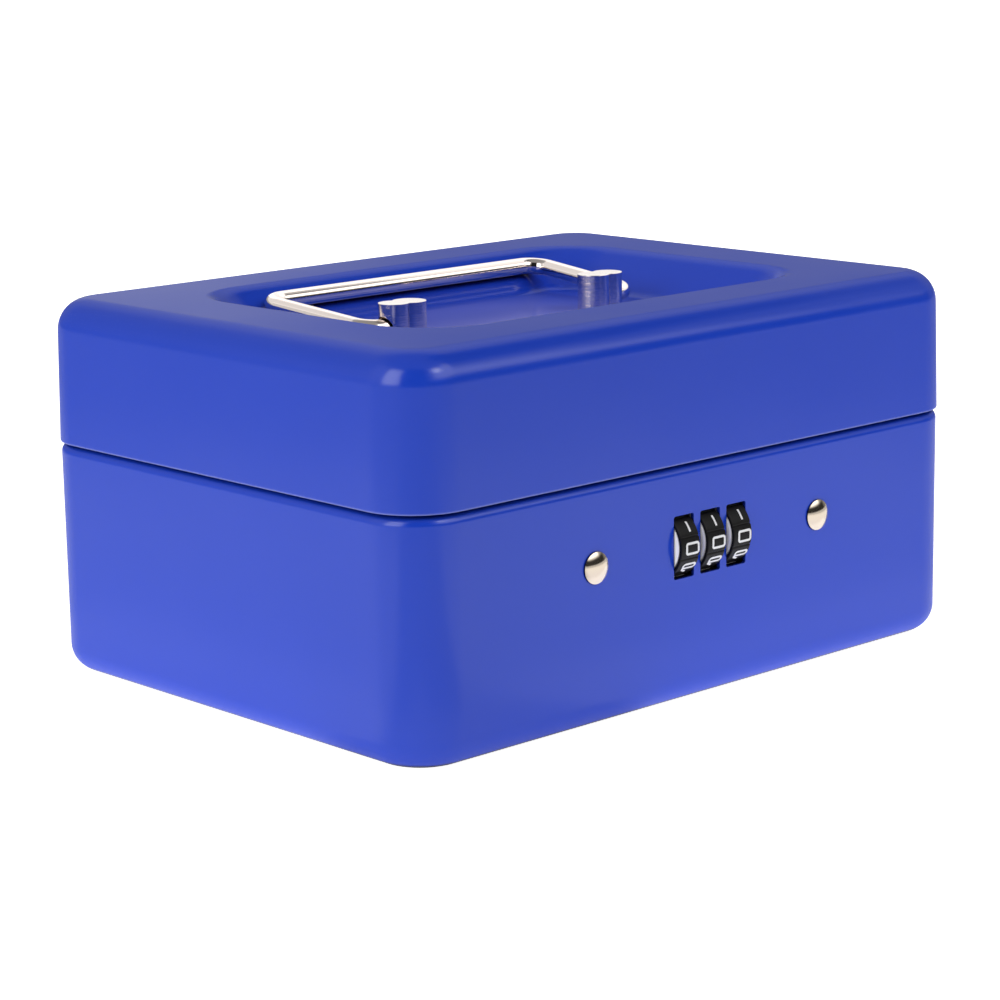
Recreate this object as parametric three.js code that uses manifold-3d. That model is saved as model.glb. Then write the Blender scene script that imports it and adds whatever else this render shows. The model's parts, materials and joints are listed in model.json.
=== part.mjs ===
// A small pressed-steel lock box with a three-wheel combination lock and a folding wire handle.
// Millimetres, +Z up. The origin is the middle of the underside, and the lock faces -Y.
import * as THREE from "three";
import { mergeVertices } from "three/addons/utils/BufferGeometryUtils.js";
import Module from "manifold-3d";

const wasm = await Module();
wasm.setup();

// Box
const boxWidth = 152;
const boxDepth = 114;
const trayHeight = 47;
const seamGap = 0.4;
const lidHeight = 28.6;
const sheetThickness = 0.8;
const cornerRadius = 11.8;

// Tray
const trayInset = 0.2;
const trayBottomFillet = 5.5;
const shoulderFillet = 1.8;
const lipFootFillet = 0.2;
const lipHeight = 6;
const lipClearance = 1.6;

// Lid
const lidDraft = 0.65;
const lidTopFillet = 6.4;
const dishEndMargin = 23.1;
const dishSideMargin = 20.9;
const dishDepth = 8.5;
const dishWallRun = 8.5;
const dishCornerRadius = 14;
const dishRimFillet = 5;
const dishFootFillet = 5;
const floorCornerRadius = 0.5;

// Fits
const clearance = 0.3;
const seatGap = 0.2;
const cutOverrun = 1;
const mergeTolerance = 0.0001;

// Handle
const postWallGap = 11.7;
const postRimDrop = 0.8;
const postLobeRadius = 3.4;
const postEarRadius = 3.1;
const postEarOffset = 4;
const postEdge = 0.4;
const wireRadius = 1.8;
const wireHoleClearance = 0.45;
const wireEndDepth = 4.4;
const bailPivotHeight = 3;
const bailArmGap = 1.6;
const bailSplay = 1.9;
const bailRimGap = 5.4;
const bailEndBend = 4;
const bailCornerBend = 4.5;

// Handle screws and washers
const screwRadius = 1.25;
const screwHeadRadius = 2.5;
const screwHeadHeight = 1.6;
const screwHeadCrown = 0.5;
const screwDepth = 5;
const washerRadius = 3.6;
const washerThickness = 0.6;

// Number wheels
const dialCount = 3;
const digitCount = 10;
const dialPitch = 7.3;
const dialRadius = 6.8;
const dialWidth = 5.1;
const dialProtrusion = 1.9;
const dialRimThickness = 0.6;
const dialGrooveDepth = 0.2;
const dialEdge = 0.2;
const grooveAngleShare = 0.07;
const lockBelowSeam = 15.6;
const slotSideClearance = 0.2;
const slotEndClearance = 0.75;
const slotCornerRadius = 0.4;
const hubRecess = 0.15;

// Cam sleeves and spindle
const spindleRadius = 1.5;
const spindleHeadRadius = 2.6;
const spindleHeadLength = 1;
const spindleTail = 1.2;
const clipGrooveDepth = 0.4;
const clipWidth = 0.6;
const clipRadius = 2.9;
const sleeveWall = 0.9;
const flangeThickness = 0.7;
const camRadius = 3.7;
const gateDepth = 0.9;
const gateWidth = 1.8;
const keyWidth = 1;
const keyReach = 3.6;
const keyEngagement = 0.55;
const resetTravel = 0.9;

// Lock case
const caseThickness = 1;
const caseEarLength = 22.3;
const caseEarMargin = 5.5;
const caseEarHeight = 16;
const caseCorner = 1.6;
const springDepth = 1.8;
const rivetShankRadius = 1.6;
const rivetHeadRadius = 3.05;
const rivetHeadHeight = 0.9;
const rivetTailRadius = 2.6;
const rivetTailHeight = 0.9;

// Springs, reset lever and catch
const leafThickness = 0.4;
const fingerWidth = 3;
const fingerRise = 8.4;
const detentFootHeight = 4.4;
const leverThickness = 0.9;
const leverLugRadius = 3.2;
const leverTabWidth = 3;
const leverTabLength = 6;
const catchThickness = 0.5;
const catchFront = 2.9;
const catchBack = 2.4;
const catchSideMargin = 1.8;
const feelerThickness = 0.6;
const feelerWidth = 1.2;
const tongueWidth = 6;
const tongueThickness = 0.7;
const tongueStandOff = 0.4;
const noseHeight = 2.4;

// Lid hook
const hookThickness = 1;
const hookSideBar = 4;
const hookLipClearance = 0.6;
const hookBarHeight = 1.2;
const hookWindowMargin = 1;
const hookFlangeHeight = 9.5;
const hookStepRise = 0.5;
const hookBend = 0.4;

// Hinges
const hingeSideMargin = 34;
const hingeLength = 24;
const hingeStandOff = 1;
const knuckleCount = 3;
const barrelRadius = 2;
const hingePinRadius = 0.9;
const hingeLeafThickness = 0.8;
const hingeLeafHeight = 12;
const hingeBend = 0.3;
const pinHeadRadius = 1.4;
const pinHeadLength = 0.5;
const hingeNotchMargin = 1.2;

// Smoothness: the most that a facet may leave its true arc, and the steps round a corner of the box
const facetTolerance = 0.05;
const cornerSteps = 8;
const domeSteps = 5;

// Places that follow from the sizes above
const hemHeight = trayHeight + seamGap;
const boxHeight = hemHeight + lidHeight;
const lipTop = trayHeight + lipHeight;
const trayWallInset = trayInset + sheetThickness;
const lipInset = sheetThickness + lipClearance;
const lipInnerInset = lipInset + sheetThickness;
const trayFrontY = trayInset - boxDepth / 2;
const trayFrontInnerY = trayFrontY + sheetThickness;
const lipFrontInnerY = lipInnerInset - boxDepth / 2;
const dishLength = boxWidth - 2 * dishEndMargin;
const dishBreadth = boxDepth - 2 * dishSideMargin;
const dishFloorZ = boxHeight - dishDepth;
const plateauEdge = (boxWidth / 2 + dishLength / 2) / 2;
const outerCentre = new THREE.Vector2(boxWidth / 2 - cornerRadius, boxDepth / 2 - cornerRadius);
const dishCentre = new THREE.Vector2(dishLength / 2 - dishCornerRadius, dishBreadth / 2 - dishCornerRadius);

const lockHeight = trayHeight - lockBelowSeam;
const spindleY = trayFrontY - dialProtrusion + dialRadius;
const trayInnerToSpindle = dialRadius - dialProtrusion - sheetThickness;
const slotHalfHeight = Math.sqrt(dialRadius ** 2 - trayInnerToSpindle ** 2) + slotEndClearance;
const dialPlaces = Array.from({ length: dialCount }, (_, i) => (i - (dialCount - 1) / 2) * dialPitch);
const sleeveLength = dialPitch - clearance;
const sleeveRadius = spindleRadius + clearance + sleeveWall;
const flangeMiddle = sleeveLength / 2 - flangeThickness / 2;
const hubFace = dialWidth / 2 - hubRecess;
const keyTip = hubFace - keyEngagement;
const trainHalfLength = ((dialCount - 1) * dialPitch + sleeveLength) / 2;
const caseInnerHalfWidth = trainHalfLength + leverThickness + resetTravel + 2 * clearance;
const caseHalfWidth = caseInnerHalfWidth + caseThickness;
const caseInnerHalfHeight = dialRadius + leverThickness + 2 * clearance;
const caseHalfHeight = caseInnerHalfHeight + caseThickness;
const casePlateY = trayFrontInnerY + seatGap;
const caseInnerBackY = spindleY + dialRadius + springDepth;
const caseTopZ = lockHeight + caseHalfHeight;
const rivetSpacing = 2 * (caseHalfWidth + caseEarLength - caseEarMargin);

const hookFrontY = lipFrontInnerY + hookLipClearance;
const hookLow = caseTopZ + catchThickness + 4 * clearance;
const hookWindowLow = hookLow + hookBarHeight;
const hookWindowHeight = noseHeight + 3 * clearance;

const postBaseZ = dishFloorZ + seatGap;
const postHeight = dishDepth - seatGap - postRimDrop;
const postEarEnd = dishLength / 2 - dishWallRun - postWallGap;
const postScrewSpacing = 2 * (postEarEnd - postEarOffset - postEarRadius);
const bailPivotZ = dishFloorZ + bailPivotHeight;
const bailPivotSpan = 2 * (postEarEnd + bailArmGap + wireRadius);
const bailGripSpan = bailPivotSpan + 2 * bailSplay;
const bailReach = dishBreadth / 2 - bailRimGap;

const hingeSpacing = boxWidth - 2 * hingeSideMargin;
const hingeY = boxDepth / 2 + hingeStandOff;
const hingeZ = trayHeight + seamGap / 2;
const leafFaceY = boxDepth / 2 - trayWallInset - seatGap;
const knuckleBore = hingePinRadius + clearance;
const notchWidth = hingeLength + 2 * hingeNotchMargin;

// Directions for extrusions: a profile drawn in YZ runs along +X, one drawn in XZ runs towards -Y
const alongX = new THREE.Matrix4().set(0, 0, 1, 0, 1, 0, 0, 0, 0, 1, 0, 0, 0, 0, 0, 1);
const alongFront = new THREE.Matrix4().makeRotationX(Math.PI / 2);
const alongZ = new THREE.Matrix4();

function solidOf(geometry) {
  const bare = geometry.clone();
  bare.deleteAttribute("normal");
  bare.deleteAttribute("uv");
  const merged = mergeVertices(bare, mergeTolerance);
  const triVerts = new Uint32Array(merged.index.array);
  const vertProperties = merged.attributes.position.array;
  return new wasm.Manifold(new wasm.Mesh({ numProp: 3, vertProperties, triVerts }));
}

function geometryOf(solid) {
  const { vertProperties, triVerts } = solid.getMesh();
  const geometry = new THREE.BufferGeometry();
  geometry.setAttribute("position", new THREE.BufferAttribute(vertProperties, 3));
  geometry.setIndex(new THREE.BufferAttribute(triVerts, 1));
  geometry.computeVertexNormals();
  return geometry;
}

function cut(geometry, tools) {
  return geometryOf(tools.reduce((solid, tool) => solid.subtract(solidOf(tool)), solidOf(geometry)));
}

function join(pieces) {
  return geometryOf(pieces.map(solidOf).reduce((solid, piece) => solid.add(piece)));
}

function named(name, geometry, finish) {
  const mesh = new THREE.Mesh(geometry, new THREE.MeshStandardMaterial(finish));
  mesh.name = name;
  return mesh;
}

// The steps that an arc needs, so that its facets stay within the tolerance.
function arcSteps(radius, turn = 2 * Math.PI) {
  const widest = 2 * Math.acos(Math.max(0, 1 - facetTolerance / radius));
  return Math.max(1, Math.ceil(turn / widest));
}

// Corners are [x, y, fillet radius]. The path keeps its straight runs and turns each radius into an arc.
function filleted(corners, closed = false) {
  const last = corners.length - 1;
  return corners.flatMap(([x, y, radius = 0], i) => {
    const corner = new THREE.Vector2(x, y);
    if (radius <= 0 || (!closed && (i === 0 || i === last))) return [corner];
    const towards = (at) => new THREE.Vector2(at[0], at[1]).sub(corner).normalize();
    const back = towards(corners[(i + last) % corners.length]);
    const ahead = towards(corners[(i + 1) % corners.length]);
    const half = Math.acos(THREE.MathUtils.clamp(back.dot(ahead), -1, 1)) / 2;
    const centre = back.clone().add(ahead).setLength(radius / Math.sin(half)).add(corner);
    const first = back.clone().multiplyScalar(radius / Math.tan(half)).add(corner).sub(centre);
    const turn = Math.PI - 2 * half;
    const sense = -Math.sign(back.cross(ahead));
    const steps = arcSteps(radius, turn);
    const origin = new THREE.Vector2();
    return Array.from({ length: steps + 1 }, (_, step) =>
      first.clone().rotateAround(origin, (sense * turn * step) / steps).add(centre),
    );
  });
}

// The same corners moved sideways, to the left of travel, as the other face of a bent sheet.
function offsetCorners(corners, distance) {
  const directions = corners.slice(1).map(([x, y], i) => {
    const from = corners[i];
    return new THREE.Vector2(x - from[0], y - from[1]).normalize();
  });
  return corners.map(([x, y, radius = 0], i) => {
    const before = directions[Math.max(i - 1, 0)];
    const after = directions[Math.min(i, directions.length - 1)];
    const shift = distance / (1 + before.dot(after));
    const turn = Math.sign(before.cross(after));
    const moved = Math.max(radius - turn * distance, 0);
    return [x - (before.y + after.y) * shift, y + (before.x + after.x) * shift, moved];
  });
}

function bentStrip(corners, thickness) {
  const face = filleted(corners);
  const back = filleted(offsetCorners(corners, thickness));
  return new THREE.Shape([...face, ...back.reverse()]);
}

function disc(radius, x = 0, y = 0) {
  const steps = arcSteps(radius);
  const points = Array.from({ length: steps }, (_, i) => {
    const angle = (2 * Math.PI * i) / steps;
    return new THREE.Vector2(x + radius * Math.cos(angle), y + radius * Math.sin(angle));
  });
  return new THREE.Shape(points);
}

function roundedRectangle(left, right, low, high, radius = 0) {
  const corners = [
    [left, low, radius],
    [right, low, radius],
    [right, high, radius],
    [left, high, radius],
  ];
  return new THREE.Shape(filleted(corners, true));
}

function prism(shape, from, to, direction) {
  const geometry = new THREE.ExtrudeGeometry(shape, { depth: to - from, bevelEnabled: false });
  return geometry.translate(0, 0, from).applyMatrix4(direction);
}

function block(x, y, z) {
  return prism(roundedRectangle(x[0], x[1], y[0], y[1]), z[0], z[1], alongZ);
}

// A turned piece about X: its profile is drawn as [radius, place along the axis].
function turnedAboutX(profile) {
  const points = profile.map(([radius, along]) => new THREE.Vector2(radius, along));
  const widest = Math.max(...profile.map(([radius]) => radius));
  return new THREE.LatheGeometry(points, arcSteps(widest)).rotateZ(-Math.PI / 2);
}

// One closed skin through loops of equal count, with flat ends.
function loft(loops) {
  const size = loops[0].length;
  const centres = [loops[0], loops[loops.length - 1]].map((loop) =>
    loop.reduce((sum, point) => sum.add(point), new THREE.Vector3()).divideScalar(size),
  );
  const index = [];
  const firstCentre = loops.length * size;
  const lastLoop = firstCentre - size;
  for (let i = 0; i < size; i += 1) {
    const next = (i + 1) % size;
    for (let start = 0; start < lastLoop; start += size) {
      index.push(start + i, start + next, start + size + next);
      index.push(start + i, start + size + next, start + size + i);
    }
    index.push(firstCentre, next, i);
    index.push(firstCentre + 1, lastLoop + i, lastLoop + next);
  }
  const geometry = new THREE.BufferGeometry().setFromPoints([...loops.flat(), ...centres]);
  geometry.setIndex(index);
  return geometry;
}

// A rounded rectangle whose corner arcs keep one centre, so its radius grows with its reach.
function roundedLoop(reach, height, centre) {
  const radius = reach - centre.x;
  return [0, 1, 2, 3].flatMap((quarter) =>
    Array.from({ length: cornerSteps + 1 }, (_, step) => {
      const angle = ((quarter + step / cornerSteps) * Math.PI) / 2;
      const sideX = quarter === 0 || quarter === 3 ? 1 : -1;
      const sideY = quarter < 2 ? 1 : -1;
      return new THREE.Vector3(
        sideX * centre.x + radius * Math.cos(angle),
        sideY * centre.y + radius * Math.sin(angle),
        height,
      );
    }),
  );
}

// Sheet pressings: a section from the middle to the wall, carried round the box
function pressing(corners, centreAt) {
  const face = filleted(corners);
  const back = filleted(offsetCorners(corners, sheetThickness)).reverse();
  const section = corners[0][0] < corners[corners.length - 1][0] ? [...face, ...back] : [...back, ...face];
  return loft(section.map(({ x, y }) => roundedLoop(x, y, centreAt(x))));
}

const finishes = {
  paint: { color: 0x2a3db0, roughness: 0.32, metalness: 0.1 },
  chrome: { color: 0xe6e0d8, roughness: 0.12, metalness: 1 },
  nickel: { color: 0xd8cfc2, roughness: 0.18, metalness: 1 },
  zinc: { color: 0xb4b6b8, roughness: 0.42, metalness: 0.9 },
  spring: { color: 0x8d8f92, roughness: 0.3, metalness: 1 },
  brass: { color: 0xc2a15a, roughness: 0.35, metalness: 1 },
  ring: { color: 0x191715, roughness: 0.5, metalness: 0 },
  hub: { color: 0xd9d7db, roughness: 0.45, metalness: 0 },
};

// Notches for the two hinges, through the back wall and whatever stands in front of the leaves
function hingeNotches(low, high) {
  const inner = leafFaceY - hingeLeafThickness - clearance;
  return [-1, 1].map((side) => {
    const middle = (side * hingeSpacing) / 2;
    const width = [middle - notchWidth / 2, middle + notchWidth / 2];
    return block(width, [inner, boxDepth / 2 + cutOverrun], [low, high]);
  });
}

function trayShell() {
  const wall = boxWidth / 2 - trayInset;
  const lip = boxWidth / 2 - lipInset;
  const tray = pressing(
    [
      [outerCentre.x + floorCornerRadius, 0],
      [wall, 0, trayBottomFillet],
      [wall, trayHeight, shoulderFillet],
      [lip, trayHeight, lipFootFillet],
      [lip, lipTop],
    ],
    () => outerCentre,
  );
  const throughFront = [-trayFrontInnerY - cutOverrun, cutOverrun - trayFrontY];
  const slots = dialPlaces.map((x) => {
    const halfWidth = dialWidth / 2 + slotSideClearance;
    const low = lockHeight - slotHalfHeight;
    const high = lockHeight + slotHalfHeight;
    const outline = roundedRectangle(x - halfWidth, x + halfWidth, low, high, slotCornerRadius);
    return prism(outline, ...throughFront, alongFront);
  });
  return cut(tray, [
    ...slots,
    ...rivetHoles(throughFront),
    ...hingeNotches(hingeZ - barrelRadius - clearance, lipTop + cutOverrun),
  ]);
}

function rivetHoles(span) {
  const radius = rivetShankRadius + clearance;
  return [-1, 1].map((side) =>
    prism(disc(radius, (side * rivetSpacing) / 2, lockHeight), ...span, alongFront),
  );
}

function lidShell() {
  const edge = boxWidth / 2;
  const rim = dishLength / 2;
  const lid = pressing(
    [
      [edge, hemHeight],
      [edge - lidDraft, boxHeight, lidTopFillet],
      [rim, boxHeight, dishRimFillet],
      [rim - dishWallRun, dishFloorZ, dishFootFillet],
      [dishCentre.x + floorCornerRadius, dishFloorZ],
    ],
    (reach) => (reach > plateauEdge ? outerCentre : dishCentre),
  );
  const span = [dishFloorZ - sheetThickness - cutOverrun, dishFloorZ + cutOverrun];
  const screwHoles = [-1, 1].map((side) =>
    prism(disc(screwRadius + clearance, (side * postScrewSpacing) / 2), ...span, alongZ),
  );
  const notchTop = hingeZ + barrelRadius + clearance;
  return cut(lid, [...screwHoles, ...hingeNotches(hemHeight - cutOverrun, notchTop)]);
}

// Two lobes seen from above: a round boss over the screw, and an ear that holds the wire's end
function handlePost() {
  const meeting = (postLobeRadius ** 2 - postEarRadius ** 2 + postEarOffset ** 2) / (2 * postEarOffset);
  const bossAngle = Math.acos(meeting / postLobeRadius);
  const earAngle = Math.PI - Math.acos((postEarOffset - meeting) / postEarRadius);
  const lobeSteps = arcSteps(postLobeRadius, Math.PI / 2);
  const outline = new THREE.Shape();
  outline.absarc(0, 0, postLobeRadius, bossAngle, 2 * Math.PI - bossAngle, false);
  outline.absarc(postEarOffset, 0, postEarRadius, -earAngle, earAngle, false);
  const body = new THREE.ExtrudeGeometry(new THREE.Shape(outline.getPoints(lobeSteps).slice(0, -1)), {
    depth: postHeight - 2 * postEdge,
    bevelThickness: postEdge,
    bevelSize: postEdge,
    bevelOffset: -postEdge,
    bevelSegments: 2,
  }).translate(0, 0, postEdge);
  const earEnd = postEarOffset + postEarRadius;
  const wireHole = prism(
    disc(wireRadius + wireHoleClearance, 0, bailPivotZ - postBaseZ),
    earEnd - wireEndDepth - clearance,
    earEnd + cutOverrun,
    alongX,
  );
  const screwHole = prism(
    disc(screwRadius + clearance),
    -cutOverrun,
    screwDepth + clearance,
    alongZ,
  );
  return cut(body, [wireHole, screwHole]);
}

// A wire bent through chosen points, with one ring of its section at each
class BentWire extends THREE.Curve {
  constructor(points) {
    super();
    this.points = points;
  }

  getPointAt(share) {
    const place = share * (this.points.length - 1);
    const before = Math.min(Math.floor(place), this.points.length - 2);
    return this.points[before].clone().lerp(this.points[before + 1], place - before);
  }

  getTangentAt(share) {
    const place = Math.round(share * (this.points.length - 1));
    const before = this.points[Math.max(place - 1, 0)];
    const after = this.points[Math.min(place + 1, this.points.length - 1)];
    return after.clone().sub(before).normalize();
  }
}

function handleBail() {
  const end = postEarEnd - wireEndDepth;
  const corners = [
    [-end, 0],
    [-bailPivotSpan / 2, 0, bailEndBend],
    [-bailGripSpan / 2, bailReach, bailCornerBend],
    [bailGripSpan / 2, bailReach, bailCornerBend],
    [bailPivotSpan / 2, 0, bailEndBend],
    [end, 0],
  ];
  const points = filleted(corners).map(({ x, y }) => new THREE.Vector3(x, y, 0));
  const path = new BentWire(points);
  return new THREE.ExtrudeGeometry(disc(wireRadius), {
    steps: points.length - 1,
    extrudePath: path,
  });
}

// The angle at which the folded bail comes to rest on the sloping wall of the dish
function bailRestAngle() {
  const wallAngle = Math.atan2(dishDepth, dishWallRun);
  const below = boxHeight - bailPivotZ;
  const away = dishBreadth / 2;
  const reachAcross = wireRadius + seatGap - Math.sin(wallAngle) * away + Math.cos(wallAngle) * below;
  return wallAngle + Math.asin(reachAcross / bailReach);
}

function postScrew() {
  const headTop = -sheetThickness - washerThickness - 2 * seatGap;
  const headBottom = headTop - screwHeadHeight;
  const profile = [
    [0, headBottom],
    [screwHeadRadius - screwHeadCrown, headBottom],
    [screwHeadRadius, headBottom + screwHeadCrown],
    [screwHeadRadius, headTop],
    [screwRadius, headTop],
    [screwRadius, screwDepth],
    [0, screwDepth],
  ];
  return turnedAboutX(profile).rotateY(-Math.PI / 2);
}

function postWasher() {
  const bore = disc(washerRadius);
  bore.holes.push(disc(screwRadius + clearance));
  const top = -sheetThickness - seatGap;
  return prism(bore, top - washerThickness, top, alongZ);
}

// The number ring: round, with a shallow groove between each two digits, and a small chamfer at each edge
function dialRing() {
  const pitch = (2 * Math.PI) / digitCount;
  const groove = pitch * grooveAngleShare;
  const grooveRadius = dialRadius - dialGrooveDepth;
  const outline = Array.from({ length: digitCount }, (_, digit) => {
    const middle = (digit + 1 / 2) * pitch;
    return [
      [middle - groove, dialRadius],
      [middle, grooveRadius],
      [middle + groove, dialRadius],
      [middle + pitch / 3, dialRadius],
      [middle + (2 * pitch) / 3, dialRadius],
    ];
  }).flat();
  const loop = (along, inset) =>
    outline.map(([angle, radius]) => {
      const reach = radius - inset;
      return new THREE.Vector3(along, reach * Math.cos(angle), reach * Math.sin(angle));
    });
  const half = dialWidth / 2;
  const wheel = loft([
    loop(-half, dialEdge),
    loop(dialEdge - half, 0),
    loop(half - dialEdge, 0),
    loop(half, dialEdge),
  ]);
  const bore = prism(disc(dialRadius - dialRimThickness), -dialWidth, dialWidth, alongX);
  return cut(wheel, [bore]);
}

// The hub: a disc with a crown of ten key pockets round its bore, on the side of the cam
function dialHub() {
  const radius = dialRadius - dialRimThickness - clearance;
  const bore = sleeveRadius + clearance;
  const wheel = turnedAboutX([
    [bore, -hubFace],
    [radius, -hubFace],
    [radius, hubFace],
    [bore, hubFace],
    [bore, -hubFace],
  ]);
  const pocketHalfWidth = keyWidth / 2 + clearance;
  const pocket = roundedRectangle(-pocketHalfWidth, pocketHalfWidth, 0, keyReach + clearance);
  const pockets = Array.from({ length: digitCount }, (_, i) =>
    prism(pocket, keyTip - clearance, hubFace + cutOverrun, alongX).rotateX((i * 2 * Math.PI) / digitCount),
  );
  return cut(wheel, pockets);
}

// The cam sleeve: its gate faces up when the wheel is on its code, and its key stands opposite
function camSleeve() {
  const bore = spindleRadius + clearance;
  const half = sleeveLength / 2;
  const flange = half - flangeThickness;
  const body = turnedAboutX([
    [bore, -half],
    [sleeveRadius, -half],
    [sleeveRadius, flange],
    [camRadius, flange],
    [camRadius, half],
    [bore, half],
    [bore, -half],
  ]);
  const gateFloor = camRadius - gateDepth;
  const gate = block(
    [flange - cutOverrun, half + cutOverrun],
    [-gateWidth / 2, gateWidth / 2],
    [gateFloor, camRadius + cutOverrun],
  );
  const key = block(
    [keyTip, half],
    [-keyWidth / 2, keyWidth / 2],
    [sleeveRadius - clearance, keyReach],
  ).rotateX(Math.PI);
  return join([cut(body, [gate]), key]);
}

function dialSpindle() {
  const shoulder = caseHalfWidth + seatGap;
  const grooveRadius = spindleRadius - clipGrooveDepth;
  const grooveEnd = shoulder + clipWidth + 2 * seatGap;
  return turnedAboutX([
    [0, -shoulder - spindleHeadLength],
    [spindleHeadRadius, -shoulder - spindleHeadLength],
    [spindleHeadRadius, -shoulder],
    [spindleRadius, -shoulder],
    [spindleRadius, shoulder],
    [grooveRadius, shoulder],
    [grooveRadius, grooveEnd],
    [spindleRadius, grooveEnd],
    [spindleRadius, grooveEnd + spindleTail],
    [0, grooveEnd + spindleTail],
  ]);
}

// A snap ring, open at the top, in the groove at the spindle's end
function spindleClip() {
  const inner = spindleRadius - clipGrooveDepth + seatGap;
  const ring = disc(clipRadius);
  ring.holes.push(disc(inner));
  const start = caseHalfWidth + 2 * seatGap;
  const mouth = block(
    [start - cutOverrun, start + clipWidth + cutOverrun],
    [-inner, inner],
    [0, clipRadius + cutOverrun],
  );
  return cut(prism(ring, start, start + clipWidth, alongX), [mouth]);
}

// The pressed case: a hood round the wheels, open to the front, and an ear on each side for a rivet
function lockCase() {
  const backY = caseInnerBackY + caseThickness;
  const earX = rivetSpacing / 2 + caseEarMargin;
  const earZ = caseEarHeight / 2;
  const ears = prism(
    roundedRectangle(-earX, earX, lockHeight - earZ, lockHeight + earZ, caseCorner),
    -casePlateY - caseThickness,
    -casePlateY,
    alongFront,
  );
  const hood = prism(
    roundedRectangle(
      -caseHalfWidth,
      caseHalfWidth,
      lockHeight - caseHalfHeight,
      lockHeight + caseHalfHeight,
      caseCorner,
    ),
    -backY,
    -casePlateY,
    alongFront,
  );
  const room = prism(
    roundedRectangle(
      -caseInnerHalfWidth,
      caseInnerHalfWidth,
      lockHeight - caseInnerHalfHeight,
      lockHeight + caseInnerHalfHeight,
    ),
    -caseInnerBackY,
    cutOverrun - casePlateY,
    alongFront,
  );
  const spindleHole = prism(
    disc(spindleRadius + clearance, spindleY, lockHeight),
    -caseHalfWidth - cutOverrun,
    caseHalfWidth + cutOverrun,
    alongX,
  );
  const feelerSlots = dialPlaces.map((x) => {
    const middle = x + flangeMiddle;
    const halfX = feelerThickness / 2 + clearance;
    const halfY = feelerWidth / 2 + clearance;
    return block(
      [middle - halfX, middle + halfX],
      [spindleY - halfY, spindleY + halfY],
      [caseTopZ - caseThickness - clearance, caseTopZ + cutOverrun],
    );
  });
  const tabHalf = leverTabWidth / 2 + clearance;
  const tabSlot = block(
    [-tabHalf, tabHalf + resetTravel],
    [spindleY - tabHalf, spindleY + tabHalf],
    [lockHeight - caseHalfHeight - cutOverrun, lockHeight - caseInnerHalfHeight + clearance],
  );
  const rivetSpan = [-casePlateY - caseThickness - cutOverrun, cutOverrun - casePlateY];
  return cut(join([ears, hood]), [room, spindleHole, tabSlot, ...feelerSlots, ...rivetHoles(rivetSpan)]);
}

// A domed rivet, drawn from its tail inside the case to the crown of its head in front
function lockRivet() {
  const tailFace = -(sheetThickness + seatGap + caseThickness + seatGap);
  const domeRadius = (rivetHeadRadius ** 2 + rivetHeadHeight ** 2) / (2 * rivetHeadHeight);
  const domeAngle = Math.asin(rivetHeadRadius / domeRadius);
  const crown = seatGap + rivetHeadHeight;
  const dome = Array.from({ length: domeSteps }, (_, step) => {
    const angle = domeAngle * (1 - step / domeSteps);
    return [domeRadius * Math.sin(angle), crown - domeRadius * (1 - Math.cos(angle))];
  });
  return turnedAboutX([
    [0, tailFace - rivetTailHeight],
    [rivetTailRadius, tailFace - rivetTailHeight],
    [rivetTailRadius, tailFace],
    [rivetShankRadius, tailFace],
    [rivetShankRadius, seatGap],
    ...dome,
    [0, crown],
  ]).rotateZ(-Math.PI / 2);
}

// One leaf along the back of the case, with a bowed finger behind each wheel
function detentSpring() {
  const footBack = springDepth - seatGap;
  const fingerFront = clearance + leafThickness;
  const low = detentFootHeight - caseInnerHalfHeight;
  const finger = bentStrip(
    [
      [footBack, low],
      [footBack, low + detentFootHeight / 2, 2 * leafThickness],
      [fingerFront, -fingerWidth / 2, 2 * leafThickness],
      [fingerFront, fingerWidth / 2, 2 * leafThickness],
      [footBack, low + fingerRise],
    ],
    leafThickness,
  );
  const fingers = dialPlaces.map((x) => prism(finger, x - fingerWidth / 2, x + fingerWidth / 2, alongX));
  const footEnd = dialPitch * ((dialCount - 1) / 2) + dialWidth / 2;
  const foot = block(
    [-footEnd, footEnd],
    [footBack - leafThickness, footBack],
    [low - detentFootHeight / 2, low + detentFootHeight / 4],
  );
  return join([foot, ...fingers]);
}

// The shuttle: a strip under the wheels with a lug at each end of the sleeves, and a tab to push
function resetLever() {
  const stripTop = -dialRadius - clearance;
  const stripLow = stripTop - leverThickness;
  const inner = trainHalfLength + clearance;
  const outer = inner + leverThickness;
  const strip = block([-outer, outer], [-leverLugRadius, leverLugRadius], [stripLow, stripTop]);
  const lug = new THREE.Shape(
    filleted(
      [
        [-leverLugRadius, stripLow],
        [leverLugRadius, stripLow],
        [leverLugRadius, leverLugRadius, leverLugRadius - clearance],
        [-leverLugRadius, leverLugRadius, leverLugRadius - clearance],
      ],
      true,
    ),
  );
  lug.holes.push(disc(spindleRadius + clearance));
  const lugs = [-outer, inner].map((from) => prism(lug, from, from + leverThickness, alongX));
  const halfTab = leverTabWidth / 2;
  const tab = prism(
    roundedRectangle(-halfTab, halfTab, stripLow - leverTabLength, stripTop, halfTab - clearance),
    -halfTab,
    halfTab,
    alongX,
  );
  return join([strip, ...lugs, tab]);
}

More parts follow.
